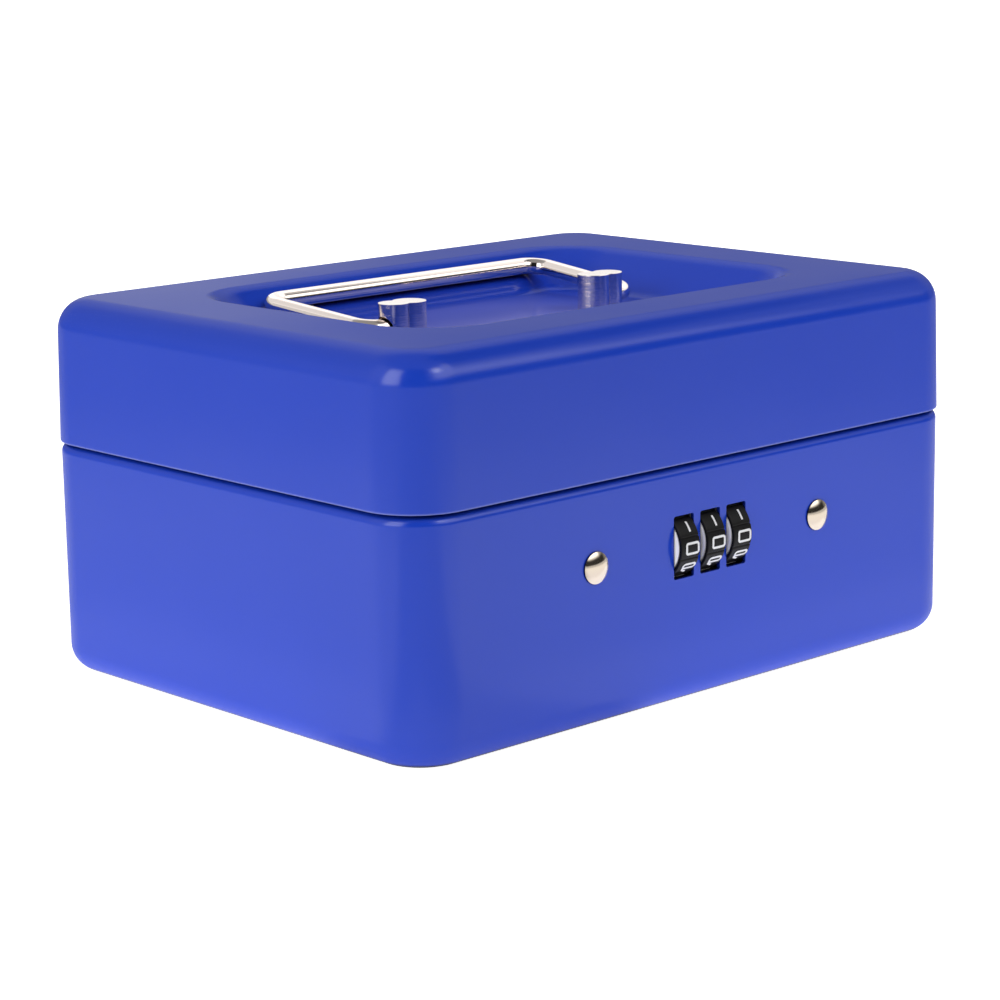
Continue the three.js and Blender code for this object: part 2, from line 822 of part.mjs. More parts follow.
// The catch: a leaf held by its front edge on the case, with a nose up in the hook's window and three
// feelers behind, over the cams. The hook pushes the nose back, which only happens if all feelers can drop.
function catchSpring() {
  const low = caseHalfHeight + seatGap;
  const halfWidth = caseHalfWidth - catchSideMargin;
  const leaf = block(
    [-halfWidth, halfWidth],
    [-catchFront, catchBack],
    [low, low + catchThickness],
  );
  const feelers = dialPlaces.map((x) => {
    const middle = x + flangeMiddle;
    return block(
      [middle - feelerThickness / 2, middle + feelerThickness / 2],
      [-feelerWidth / 2, feelerWidth / 2],
      [camRadius + clearance, low + catchThickness],
    );
  });
  const noseLow = hookWindowLow - lockHeight + clearance;
  const noseTip = lipFrontInnerY - spindleY + clearance;
  const tongueFront = hookFrontY + hookThickness + tongueStandOff - spindleY;
  const tongueBack = tongueFront + tongueThickness;
  const tongue = prism(
    new THREE.Shape(
      filleted(
        [
          [tongueFront, low],
          [tongueFront, noseLow],
          [noseTip, noseLow + noseHeight / 2, clearance],
          [tongueFront, noseLow + noseHeight],
          [tongueBack, noseLow + noseHeight, tongueThickness / 2],
          [tongueBack, low],
        ],
        true,
      ),
    ),
    -tongueWidth / 2,
    tongueWidth / 2,
    alongX,
  );
  return join([leaf, ...feelers, tongue]);
}

// A folded hook: flange on the lid's front wall, a step back over the lip, and a windowed tongue
function lidHook() {
  const flangeLow = lipTop + hookStepRise + hookThickness;
  const flangeTop = flangeLow + hookFlangeHeight;
  const wallInset = sheetThickness + (lidDraft * (flangeTop - hemHeight)) / lidHeight;
  const flangeY = wallInset + seatGap - boxDepth / 2;
  const halfWindow = tongueWidth / 2 + hookWindowMargin;
  const halfWidth = halfWindow + hookSideBar;
  const plate = prism(
    bentStrip(
      [
        [hookFrontY, hookLow],
        [hookFrontY, lipTop + hookStepRise, hookBend + hookThickness],
        [flangeY, lipTop + hookStepRise, hookBend],
        [flangeY, flangeTop],
      ],
      -hookThickness,
    ),
    -halfWidth,
    halfWidth,
    alongX,
  );
  const window = block(
    [-halfWindow, halfWindow],
    [hookFrontY - cutOverrun, hookFrontY + hookThickness + cutOverrun],
    [hookWindowLow, hookWindowLow + hookWindowHeight],
  );
  return cut(plate, [window]);
}

// Hinge leaves are drawn about the hinge axis; upwards is 1 for the lid's leaf and -1 for the tray's
function hingeLeaf(upwards, knuckles) {
  const knuckleLength = hingeLength / knuckleCount;
  const face = leafFaceY - hingeY;
  const tip = upwards * (barrelRadius + hingeLeafHeight);
  const strip = bentStrip(
    [
      [0, upwards * barrelRadius],
      [face, upwards * barrelRadius, hingeBend],
      [face, tip],
    ],
    upwards * hingeLeafThickness,
  );
  const arms = knuckles.map((knuckle) => {
    const from = knuckle * knuckleLength - hingeLength / 2 + seatGap;
    const to = from + knuckleLength - 2 * seatGap;
    return join([prism(disc(barrelRadius), from, to, alongX), prism(strip, from, to, alongX)]);
  });
  const bore = prism(disc(knuckleBore), -hingeLength, hingeLength, alongX);
  const foot = upwards * (barrelRadius + hingeLeafThickness + hingeBend);
  const plate = block(
    [-hingeLength / 2, hingeLength / 2],
    [face - hingeLeafThickness, face],
    [Math.min(foot, tip), Math.max(foot, tip)],
  );
  return cut(join([plate, ...arms]), [bore]);
}

function hingePin() {
  const end = hingeLength / 2;
  const profile = [
    [0, -end - pinHeadLength],
    [pinHeadRadius, -end - pinHeadLength],
    [pinHeadRadius, -end],
    [hingePinRadius, -end],
    [hingePinRadius, end],
    [pinHeadRadius, end],
    [pinHeadRadius, end + pinHeadLength],
    [0, end + pinHeadLength],
  ];
  return turnedAboutX(profile);
}

function placed(x, y, z, ...pieces) {
  const group = new THREE.Group();
  group.position.set(x, y, z);
  group.add(...pieces);
  return group;
}

const root = new THREE.Group();
root.add(
  named("body_shell", trayShell(), finishes.paint),
  named("lid_shell", lidShell(), finishes.paint),
  named("lock_case", lockCase(), finishes.zinc),
  named("lid_hook", lidHook(), finishes.zinc),
);

root.add(
  placed(
    0,
    spindleY,
    lockHeight,
    named("dial_spindle", dialSpindle(), finishes.zinc),
    named("spindle_clip", spindleClip(), finishes.spring),
    named("reset_lever", resetLever(), finishes.zinc),
    named("catch_spring", catchSpring(), finishes.spring),
  ),
  placed(
    0,
    spindleY + dialRadius,
    lockHeight,
    named("detent_spring", detentSpring(), finishes.spring),
  ),
);

dialPlaces.forEach((x, i) => {
  root.add(
    placed(
      x,
      spindleY,
      lockHeight,
      named(`dial_ring_${i + 1}`, dialRing(), finishes.ring),
      named(`dial_hub_${i + 1}`, dialHub(), finishes.hub),
      named(`cam_sleeve_${i + 1}`, camSleeve(), finishes.brass),
    ),
  );
});

const bailCarrier = placed(0, 0, bailPivotZ, named("handle_bail", handleBail(), finishes.chrome));
bailCarrier.rotation.x = bailRestAngle();
root.add(bailCarrier);

const sides = { left: -1, right: 1 };
Object.entries(sides).forEach(([side, sign]) => {
  const rivet = named(`lock_rivet_${side}`, lockRivet(), finishes.nickel);
  root.add(placed((sign * rivetSpacing) / 2, trayFrontY, lockHeight, rivet));

  const post = named(`handle_post_${side}`, handlePost(), finishes.chrome);
  post.rotation.z = sign > 0 ? 0 : Math.PI;
  root.add(placed((sign * postScrewSpacing) / 2, 0, postBaseZ, post));
  root.add(
    placed(
      (sign * postScrewSpacing) / 2,
      0,
      dishFloorZ,
      named(`post_screw_${side}`, postScrew(), finishes.zinc),
      named(`post_washer_${side}`, postWasher(), finishes.zinc),
    ),
  );

  root.add(
    placed(
      (sign * hingeSpacing) / 2,
      hingeY,
      hingeZ,
      named(`hinge_body_leaf_${side}`, hingeLeaf(-1, [0, 2]), finishes.paint),
      named(`hinge_lid_leaf_${side}`, hingeLeaf(1, [1]), finishes.paint),
      named(`hinge_pin_${side}`, hingePin(), finishes.zinc),
    ),
  );
});

export default root;
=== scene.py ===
"""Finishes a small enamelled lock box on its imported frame, and sets its stage."""

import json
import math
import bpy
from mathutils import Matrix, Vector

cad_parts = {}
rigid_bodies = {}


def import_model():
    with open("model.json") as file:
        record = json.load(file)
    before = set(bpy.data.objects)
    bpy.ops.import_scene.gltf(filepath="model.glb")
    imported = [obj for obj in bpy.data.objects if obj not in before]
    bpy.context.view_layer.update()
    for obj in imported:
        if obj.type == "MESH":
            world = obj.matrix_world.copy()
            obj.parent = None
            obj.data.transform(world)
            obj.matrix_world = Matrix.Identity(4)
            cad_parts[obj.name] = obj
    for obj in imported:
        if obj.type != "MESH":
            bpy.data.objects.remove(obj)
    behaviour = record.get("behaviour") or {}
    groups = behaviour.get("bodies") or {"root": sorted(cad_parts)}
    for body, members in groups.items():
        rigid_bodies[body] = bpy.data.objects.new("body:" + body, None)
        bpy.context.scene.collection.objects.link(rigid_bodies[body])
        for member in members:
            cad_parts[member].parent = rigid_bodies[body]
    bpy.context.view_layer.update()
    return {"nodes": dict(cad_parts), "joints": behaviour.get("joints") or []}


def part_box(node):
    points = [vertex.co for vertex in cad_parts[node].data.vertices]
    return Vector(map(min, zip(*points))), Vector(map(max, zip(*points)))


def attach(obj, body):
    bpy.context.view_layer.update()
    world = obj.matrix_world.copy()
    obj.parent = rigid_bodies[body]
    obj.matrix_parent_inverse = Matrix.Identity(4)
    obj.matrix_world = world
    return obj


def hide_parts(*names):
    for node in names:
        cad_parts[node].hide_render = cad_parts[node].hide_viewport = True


bl_info = {
    "name": "Lock Box Finish",
    "version": (1, 0, 0),
    "blender": (4, 5, 0),
    "location": "3D View > Sidebar > Lock Box",
    "description": "Builds the enamelled shells, wire handle and number wheels of a lock box",
    "category": "Object",
}

from functools import cache

import bmesh
import bpy
from bpy.props import FloatProperty, FloatVectorProperty, IntProperty, PointerProperty
from bpy.types import Operator, Panel, PropertyGroup
from mathutils import Matrix, Vector

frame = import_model()

MM = 0.001
SIDES = ("left", "right")
NUMBERS = (1, 2, 3)


def length(name, millimetres, description):
    """A length property, given in millimetres and kept in metres."""
    return FloatProperty(
        name=name, description=description, default=millimetres * MM, unit="LENGTH", precision=5
    )


def tint(name, rgb, description):
    """A colour property in linear light."""
    return FloatVectorProperty(
        name=name, description=description, default=rgb, subtype="COLOR", size=3, min=0.0, max=1.0
    )


def amount(name, default, description, most=1.0):
    """A plain number from nothing up."""
    return FloatProperty(name=name, description=description, default=default, min=0.0, max=most)


def angle(name, radians, description):
    """An angle property."""
    return FloatProperty(name=name, description=description, default=radians, subtype="ANGLE")


def steps_of(name, default, description, least):
    """A number of faces."""
    return IntProperty(name=name, description=description, default=default, min=least)


class LOCKBOX_PG_shells(PropertyGroup):
    sheet: length("Sheet", 0.8, "Thickness of the pressed steel")
    corner: length("Corner", 11.8, "Radius of the box's upright corners")
    tray_foot: length("Tray foot", 5.5, "Bend between the tray's wall and floor")
    shoulder: length("Shoulder", 1.8, "Bend where the tray steps in under the lid")
    lip_foot: length("Lip foot", 0.2, "Bend at the foot of the tray's lip")
    lip_height: length("Lip height", 6.0, "How far the lip stands up inside the lid")
    lip_inset: length("Lip inset", 2.2, "Step from the tray's wall to its lip")
    lid_draft: length("Lid draft", 0.65, "How far the lid's wall leans in")
    lid_edge: length("Lid edge", 6.4, "Bend round the top of the lid")
    dish_end: length("Dish end", 23.1, "Rim between the lid's end and the dish")
    dish_side: length("Dish side", 20.9, "Rim between the lid's front and the dish")
    dish_depth: length("Dish depth", 8.5, "Depth of the dish")
    dish_run: length("Dish run", 8.5, "How far the dish's wall slopes inwards")
    dish_corner: length("Dish corner", 14.0, "Radius of the dish's corners at the rim")
    dish_bend: length("Dish bend", 5.0, "Bends at the rim and the foot of the dish")
    edge_round: length("Edge round", 0.32, "Rounding that the enamel gives to cut edges")
    slot_gap: length("Slot gap", 0.2, "Room between a wheel's side and its slot")
    slot_end_gap: length("Slot end gap", 0.75, "Room between a wheel's rim and its slot's end")
    hole_gap: length("Hole gap", 0.3, "Room round rivets and screws")
    notch_margin: length("Notch margin", 1.2, "Room beside a hinge in its notch")
    slot_corner: length("Slot corner", 0.4, "Corner radius of a wheel's slot")
    corner_steps: steps_of("Corner steps", 20, "Faces round each upright corner", 4)
    bend_steps: steps_of("Bend steps", 12, "Faces round a right-angled bend", 3)
    enamel: tint("Enamel", (0.013, 0.06, 0.59), "Colour of the enamel")
    # Pale edge colour: worn paint and a painted highlight
    enamel_worn_lit_edge: tint("Enamel edge", (0.5, 0.55, 0.88), "Colour of the enamel where it is rubbed")
    # Painted shade colour, laid into the enamel in narrow places
    enamel_crevice_shade: tint("Enamel hollow", (0.005, 0.003, 0.03), "Colour of the enamel in crevices")
    enamel_roughness: amount("Enamel roughness", 0.16, "Roughness of the enamel's gloss")


class LOCKBOX_PG_handle(PropertyGroup):
    wire: length("Wire", 1.8, "Radius of the bail's wire")
    arm_place: length("Arm place", 36.1, "From the middle to an arm, at its pivot")
    grip_place: length("Grip place", 38.0, "From the middle to an arm, at the grip")
    end_bend: length("End bend", 4.0, "Bend from each arm into its post")
    grip_bend: length("Grip bend", 4.5, "Bend from each arm into the grip")
    end_depth: length("End depth", 4.4, "How deep the wire stands in its post")
    lobe: length("Post boss", 3.4, "Radius of the post's boss over its screw")
    ear: length("Post ear", 3.1, "Radius of the post's ear round the wire")
    ear_offset: length("Ear offset", 4.0, "From the middle of the boss to that of the ear")
    post_edge: length("Post edge", 0.55, "Rounding of the post's top and bottom edge")
    post_hole: length("Post hole", 2.25, "Radius of the hole for the wire")
    chrome: tint("Chrome", (0.93, 0.83, 0.77), "Colour of the plated steel")
    chrome_roughness: amount("Chrome roughness", 0.09, "Roughness of the plated wire")
    post_roughness: amount("Post roughness", 0.14, "Roughness of the plated posts")
    wire_edge: length("Wire edge", 0.3, "Rounding of the wire's ends")
    screw_hole: length("Screw hole", 1.55, "Radius of the hole for a post's screw")
    screw_depth: length("Screw depth", 5.1, "Depth of the screw's hole in a post")
    hole_gap: length("Wire gap", 0.3, "Room past the wire's end in its post")
    wire_sides: steps_of("Wire sides", 32, "Faces round the wire", 8)


class LOCKBOX_PG_wheels(PropertyGroup):
    rim: length("Rim", 0.6, "Thickness of the black number ring")
    groove: length("Groove", 0.2, "Depth of the groove between two digits")
    groove_angle: angle("Groove angle", math.radians(2.52), "From a groove's bottom to its edge")
    edge: length("Edge", 0.2, "Chamfer of the ring's edges")
    digit_width: length("Digit width", 3.2, "Width of a digit between its stroke middles")
    digit_height: length("Digit height", 2.0, "Height of a digit between its stroke middles")
    digit_corner: length("Digit corner", 0.4, "Corner radius of a digit's strokes")
    oval_corner: length("Oval corner", 0.5, "Corner radius of an oval loop")
    stroke: length("Stroke", 0.46, "Width of a digit's strokes")
    stroke_rise: length("Stroke rise", 0.05, "How far the printed digits stand off the ring")
    digit_shift: length("Digit shift", 0.45, "How far the digits sit to the right of the middle")
    digit_drop: angle("Digit drop", math.radians(1.0), "How far a facing digit sits low")
    ring: tint("Ring", (0.0045, 0.004, 0.004), "Colour of the number rings")
    digits: tint("Digits", (0.98, 0.98, 0.98), "Colour of the printed digits")
    hub: tint("Hub", (0.95, 0.92, 0.95), "Colour of the hubs")


class LOCKBOX_PG_fittings(PropertyGroup):
    rivet_radius: length("Rivet radius", 3.05, "Radius of a rivet's head")
    rivet_height: length("Rivet height", 0.9, "Height of a rivet's head")
    rivet_flank: length("Rivet flank", 0.12, "Upright edge under a rivet's dome")
    shank_radius: length("Shank radius", 1.6, "Radius of a rivet's shank")
    tail_radius: length("Tail radius", 2.6, "Radius of the upset tail inside")
    tail_height: length("Tail height", 0.9, "Height of the upset tail")
    tail_edge: length("Tail edge", 0.2, "Chamfer of the upset tail")
    nickel: tint("Nickel", (0.8, 0.69, 0.56), "Colour of the rivets")
    zinc: tint("Zinc", (0.46, 0.47, 0.48), "Colour of the zinc-plated pieces")
    spring: tint("Spring steel", (0.28, 0.285, 0.3), "Colour of the springs")
    brass: tint("Brass", (0.55, 0.36, 0.13), "Colour of the cam sleeves")


class LOCKBOX_PG_stage(PropertyGroup):
    floor: tint("Floor", (0.92, 0.92, 0.92), "Colour of the floor")
    sky: tint("Sky", (1.0, 1.0, 1.0), "Colour of the light all round")
    sky_strength: amount("Sky strength", 0.41, "Light from all round", 10.0)
    box_strength: amount("Box strength", 1.0, "Share of the soft boxes' light", 10.0)
    white_strength: amount("White strength", 1.05, "White behind the part", 10.0)
    # The floor's pool and foot glow are painted light: the floor glows round the part as no lamp
    # does
    pool_strength: amount("Pool strength", 0.5, "Glow of the lit floor round the part", 10.0)
    pool_reach: length("Pool reach", 240.0, "Radius of the lit floor round the part")
    foot_glow: amount("Foot glow", 0.22, "More glow of the floor close beside the part", 10.0)
    camera_azimuth: angle("Camera azimuth", -0.7479, "Bearing of the camera")
    camera_elevation: angle("Camera elevation", 0.2122, "Rise of the camera")
    camera_distance: length("Camera distance", 593.15, "From the camera to what it looks at")
    lens: amount("Lens", 103.987, "Focal length of the camera, in millimetres", 1000.0)
    roll: angle("Roll", -0.0165, "Tilt of the camera")


def settings(name):
    """The values of one group of settings on the scene."""
    return getattr(bpy.context.scene, f"lockbox_{name}")


# Outlines


def rounded_path(corners, steps, closed=False):
    """Points through corners given as (x, y, bend radius), with steps faces to a right angle."""
    path = []
    count = len(corners)
    for i, (x, y, radius) in enumerate(corners):
        corner = Vector((x, y))
        is_end = not closed and i in (0, count - 1)
        if radius <= 0 or is_end:
            path.append(corner)
            continue
        back = (Vector(corners[i - 1][:2]) - corner).normalized()
        ahead = (Vector(corners[(i + 1) % count][:2]) - corner).normalized()
        half = back.angle(ahead) / 2
        centre = corner + (back + ahead).normalized() * (radius / math.sin(half))
        first = corner + back * (radius / math.tan(half)) - centre
        turn = math.pi - 2 * half
        sense = -math.copysign(1, back.x * ahead.y - back.y * ahead.x)
        faces = max(2, round(turn / (math.pi / 2) * steps))
        for step in range(faces + 1):
            turned = Matrix.Rotation(sense * turn * step / faces, 2) @ first
            path.append(centre + turned)
    return path


def offset_corners(corners, distance):
    """The same corners moved to the left of travel: the other face of a bent sheet."""
    ways = [
        (Vector(ahead[:2]) - Vector(here[:2])).normalized()
        for here, ahead in zip(corners, corners[1:])
    ]
    moved = []
    for i, (x, y, radius) in enumerate(corners):
        before = ways[max(i - 1, 0)]
        after = ways[min(i, len(ways) - 1)]
        shift = distance / (1 + before.dot(after))
        turn = before.x * after.y - before.y * after.x
        bend = radius - math.copysign(distance, turn) if turn else 0.0
        x, y = x - (before.y + after.y) * shift, y + (before.x + after.x) * shift
        moved.append((x, y, max(bend, 0.0)))
    return moved


def circle(radius, count, x=0.0, y=0.0):
    """Points round a circle."""
    turns = [2 * math.pi * i / count for i in range(count)]
    return [Vector((x + radius * math.cos(a), y + radius * math.sin(a))) for a in turns]


# Meshes


def bridge(bm, rows, wrap):
    """Faces between rows of vertices, which wrap round or are capped at both ends."""
    pairs = list(zip(rows, rows[1:]))
    if wrap:
        pairs.append((rows[-1], rows[0]))
    else:
        bm.faces.new(rows[0][::-1])
        bm.faces.new(rows[-1])
    for low, high in pairs:
        for i in range(len(low)):
            j = (i + 1) % len(low)
            bm.faces.new((low[i], low[j], high[j], high[i]))


def skin(loops, name, wrap=False):
    """An object skinned through closed loops of equal count, capped unless it wraps round."""
    bm = bmesh.new()
    bridge(bm, [[bm.verts.new(point) for point in loop] for loop in loops], wrap)
    bmesh.ops.recalc_face_normals(bm, faces=bm.faces)
    return object_of(bm, name)


def object_of(bm, name):
    """A new object from a bmesh, which is freed."""
    mesh = bpy.data.meshes.new(name)
    bm.to_mesh(mesh)
    bm.free()
    made = bpy.data.objects.new(name, mesh)
    bpy.context.scene.collection.objects.link(made)
    return made


def prism(outline, start, end, place, name="cutter"):
    """A straight piece: its 2-D outline put in space by place, from start to end along it."""
    loops = [[place @ Vector((p.x, p.y, along)) for p in outline] for along in (start, end)]
    return skin(loops, name)


def lathe(profile, count, place, name):
    """A turned piece: profile points are (radius, place along the axis), from axis to axis."""
    loops = [
        [place @ Vector((p.x, p.y, along)) for p in circle(radius, count)]
        for radius, along in profile
        if radius > 0
    ]
    return skin(loops, name)


def settle(piece):
    """Applies the modifiers of a piece."""
    graph = bpy.context.evaluated_depsgraph_get()
    mesh = bpy.data.meshes.new_from_object(piece.evaluated_get(graph))
    old = piece.data
    piece.modifiers.clear()
    piece.data = mesh
    bpy.data.meshes.remove(old)


def carve(piece, cutters):
    """Cuts the cutters out of a piece and removes them."""
    for cutter in cutters:
        boolean = piece.modifiers.new("cut", "BOOLEAN")
        boolean.operation = "DIFFERENCE"
        boolean.solver = "EXACT"
        boolean.object = cutter
    settle(piece)
    for cutter in cutters:
        bpy.data.objects.remove(cutter)


def round_edges(piece, width, segments=2, angle=math.radians(50)):
    """Rounds the edges of a piece that are sharper than the angle."""
    bevel = piece.modifiers.new("round", "BEVEL")
    bevel.width = width
    bevel.segments = segments
    bevel.limit_method = "ANGLE"
    bevel.angle_limit = angle
    bevel.miter_outer = "MITER_ARC"
    settle(piece)


def smooth(piece, angle=math.radians(35)):
    """Shades a piece smooth, with flat faces kept flat and sharp edges kept sharp."""
    piece.data.polygons.foreach_set("use_smooth", [True] * len(piece.data.polygons))
    piece.data.set_sharp_from_angle(angle=angle)
    weighted = piece.modifiers.new("even shading", "WEIGHTED_NORMAL")
    weighted.keep_sharp = True


def hand_over(piece, body, material, slot, *nodes):
    """Gives a finished piece its material and its body, and hides the nodes that it stands for."""
    piece.data.materials.clear()
    piece.data.materials.append(material)
    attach(piece, body)
    if nodes:
        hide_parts(*nodes)
    return piece


ALONG_X = Matrix(((0, 0, 1, 0), (1, 0, 0, 0), (0, 1, 0, 0), (0, 0, 0, 1)))
TO_FRONT = Matrix.Rotation(math.pi / 2, 4, "X")
UPRIGHT = Matrix.Identity(4)


def box_outline(left, right, low, high, radius=0.0, steps=4):
    """A rectangle with rounded corners."""
    places = ((left, low), (right, low), (right, high), (left, high))
    return rounded_path([(x, y, radius) for x, y in places], steps, closed=True)


def box_loop(reach, height, centre, steps):
    """A loop round the box whose corner arcs keep one centre, so that a larger reach is rounder."""
    radius = reach - centre[0]
    loop = []
    for quarter, (side_x, side_y) in enumerate(((1, 1), (-1, 1), (-1, -1), (1, -1))):
        for step in range(steps + 1):
            angle = (quarter + step / steps) * math.pi / 2
            x = side_x * centre[0] + radius * math.cos(angle)
            y = side_y * centre[1] + radius * math.sin(angle)
            loop.append(Vector((x, y, height)))
    return loop


def middle(node):
    """The middle of a node's box."""
    low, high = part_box(node)
    return (low + high) / 2


def ring_box(number):
    """The two corners of a number ring's box, and the ring's radius."""
    low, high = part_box(f"dial_ring_{number}")
    return low, high, (high.z - low.z) / 2


def hinge_barrel():
    """The height of the hinge pins, and the radius of the barrels round them."""
    pin = middle("hinge_pin_left")
    return pin.z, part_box("hinge_lid_leaf_left")[1].y - pin.y


def handle_pivot():
    """The place of the handle's joint."""
    return next(j for j in frame["joints"] if j["name"] == "handle_swing")["pos_m"]


# Shader nodes


def add(tree, kind, values=None, **attributes):
    """A new node, with its sockets set or linked by name or by place."""
    made = tree.nodes.new(kind)
    for name, value in attributes.items():
        setattr(made, name, value)
    for name, value in (values or {}).items():
        if isinstance(value, bpy.types.NodeSocket):
            tree.links.new(value, made.inputs[name])
        else:
            made.inputs[name].default_value = value
    return made


def math_node(tree, operation, first, second):
    """The result of one sum."""
    return add(tree, "ShaderNodeMath", {0: first, 1: second}, operation=operation).outputs[0]


def vector_node(tree, operation, *vectors):
    """The result of one sum with vectors."""
    made = add(tree, "ShaderNodeVectorMath", dict(enumerate(vectors)), operation=operation)
    return made.outputs["Value" if operation in ("LENGTH", "DOT_PRODUCT") else "Vector"]


def product(tree, *values):
    """All the values multiplied, in order."""
    result = values[0]
    for value in values[1:]:
        result = math_node(tree, "MULTIPLY", result, value)
    return result


def without(tree, mask, share=1.0):
    """What a mask leaves of one, when it takes a share away."""
    return math_node(tree, "SUBTRACT", 1.0, mask if share == 1.0 else product(tree, mask, share))


def stretched(tree, value, **limits):
    """A value moved from one range to another, given as From_Min and so on."""
    values = {"Value": value} | {name.replace("_", " "): limit for name, limit in limits.items()}
    return add(tree, "ShaderNodeMapRange", values).outputs["Result"]


def smooth_step(tree, value, low, high):
    """Rises smoothly from nothing at low to one at high."""
    values = {0: value, 1: low, 2: high}
    made = add(tree, "ShaderNodeMapRange", values, interpolation_type="SMOOTHSTEP")
    return made.outputs["Result"]


def on_surface(tree, kind="Object"):
    """The place on the piece, or its normal there."""
    return add(tree, "ShaderNodeTexCoord").outputs[kind]


def noise(tree, scale, detail, place=None):
    """A noise over the piece."""
    values = {"Vector": place or on_surface(tree), "Scale": scale, "Detail": detail}
    return add(tree, "ShaderNodeTexNoise", values).outputs["Fac"]


def openness(tree, reach, **attributes):
    """How open the surroundings are, within a reach."""
    values = {"Distance": reach}
    return add(tree, "ShaderNodeAmbientOcclusion", values, samples=6, **attributes).outputs["AO"]


# Shared effects: each node group is made once, when it is first asked for


def effect(name, inputs, output):
    """A new node group with number or vector inputs and one output, and what it is given."""
    group = bpy.data.node_groups.new(name, "ShaderNodeTree")
    for label, default in inputs.items():
        kind = "NodeSocketFloat" if isinstance(default, float) else "NodeSocketVector"
        socket = group.interface.new_socket(label, in_out="INPUT", socket_type=kind)
        socket.default_value = default
    group.interface.new_socket(output, in_out="OUTPUT", socket_type="NodeSocketFloat")
    return group, add(group, "NodeGroupInput").outputs


def put_out(group, result):
    """The group, whose output is the result."""
    add(group, "NodeGroupOutput", {0: result})
    return group


@cache
def coat_ripple():
    """Height of a sprayed coat: a fine orange peel over slow waves in the sheet."""
    group, given = effect("Coat Ripple", {"Peel": 1.0, "Wave": 1.0}, "Height")
    fine = product(group, noise(group, 900.0, 2.0), given["Peel"])
    slow = product(group, noise(group, 38.0, 0.0), given["Wave"])
    return put_out(group, math_node(group, "ADD", fine, slow))


@cache
def handling_marks():
    """Roughness of a handled surface: broad wiped patches and small specks."""
    inputs = {"Base": 0.3, "Patches": 0.1, "Specks": 0.1}
    group, given = effect("Handling Marks", inputs, "Roughness")
    wide = smooth_step(group, noise(group, 30.0, 1.5), 0.35, 0.8)
    dots = smooth_step(group, noise(group, 520.0, 1.0), 0.66, 0.84)
    wiped = product(group, wide, given["Patches"])
    dotted = product(group, dots, given["Specks"])
    both = math_node(group, "ADD", wiped, dotted)
    return put_out(group, math_node(group, "ADD", both, given["Base"]))


@cache
def rolled_grain():
    """A mask of fine lines, as rolled, drawn or turned metal has, close along squeezed axes."""
    inputs = {"Scale": 400.0, "Squeeze": (1.0, 12.0, 12.0)}
    group, given = effect("Rolled Grain", inputs, "Mask")
    scaled = vector_node(group, "MULTIPLY", on_surface(group), given["Squeeze"])
    return put_out(group, noise(group, given["Scale"], 3.0, scaled))


@cache
def bearing_mask():
    """A mask for the directions within some angle of a bearing, whose cosines are given."""
    inputs = {"Place": (0.0, 0.0, 0.0), "Bearing": (1.0, 0.0, 0.0), "Edge": 0.8, "Full": 0.9}
    group, given = effect("Bearing Mask", inputs, "Mask")
    flat = vector_node(group, "MULTIPLY", given["Place"], (1.0, 1.0, 0.0))
    unit = vector_node(group, "NORMALIZE", flat)
    along = vector_node(group, "DOT_PRODUCT", unit, given["Bearing"])
    return put_out(group, smooth_step(group, along, given["Edge"], given["Full"]))


@cache
def worn_and_lit_edges():
    """A mask of the outer edges, where a coat pulls thin and wears, and where a highlight is
    painted.
    """
    group, given = effect("Worn And Lit Edges", {"Reach": 0.0004}, "Mask")
    within = openness(group, given["Reach"], inside=True, only_local=True)
    return put_out(group, smooth_step(group, within, 0.95, 0.65))


@cache
def crevice_shade():
    """A mask of narrow places, where shade is painted into the coat."""
    group, given = effect("Crevice Shade", {"Reach": 0.0014}, "Mask")
    return put_out(group, smooth_step(group, openness(group, given["Reach"]), 0.8, 0.3))


def placed(tree, group, **values):
    """The output of a group placed in a material, with its own values."""
    return add(tree, "ShaderNodeGroup", values, node_tree=group).outputs[0]


# Materials


def surface(name, colour, metallic=0.0, specular=0.5):
    """A new material with a Principled surface, its nodes, and that surface."""
    material = bpy.data.materials.new(name)
    material.use_nodes = True
    material.diffuse_color = (*colour, 1.0)
    shader = material.node_tree.nodes["Principled BSDF"]
    shader.inputs["Base Color"].default_value = (*colour, 1.0)
    shader.inputs["Metallic"].default_value = metallic
    shader.inputs["Specular IOR Level"].default_value = specular
    return material, material.node_tree, shader


def drift(tree, colour, scale, share):
    """A colour that wanders a little, darker and lighter, over the surface."""
    mix = add(tree, "ShaderNodeMix", {"Factor": noise(tree, scale, 3.0)}, data_type="RGBA")
    mix.inputs[6].default_value = (*(value * (1 - share) for value in colour), 1.0)
    mix.inputs[7].default_value = (*(min(1.0, value * (1 + share)) for value in colour), 1.0)
    return mix.outputs[2]


def blend_colour(tree, factor, first, second):
    """One colour output over another given colour, by a mask."""
    mix = add(tree, "ShaderNodeMix", {"Factor": factor}, data_type="RGBA")
    tree.links.new(first, mix.inputs[6])
    mix.inputs[7].default_value = (*second, 1.0)
    return mix.outputs[2]


def mark(tree, shader, base, patches, specks):
    """Feeds the roughness of a handled surface."""
    rough = placed(tree, handling_marks(), Base=base, Patches=patches, Specks=specks)
    tree.links.new(rough, shader.inputs["Roughness"])


def bump(tree, shader, height, distance, strength):
    """Feeds a height to the surface's normal."""
    values = {"Height": height, "Distance": distance, "Strength": strength}
    made = add(tree, "ShaderNodeBump", values)
    tree.links.new(made.outputs["Normal"], shader.inputs["Normal"])


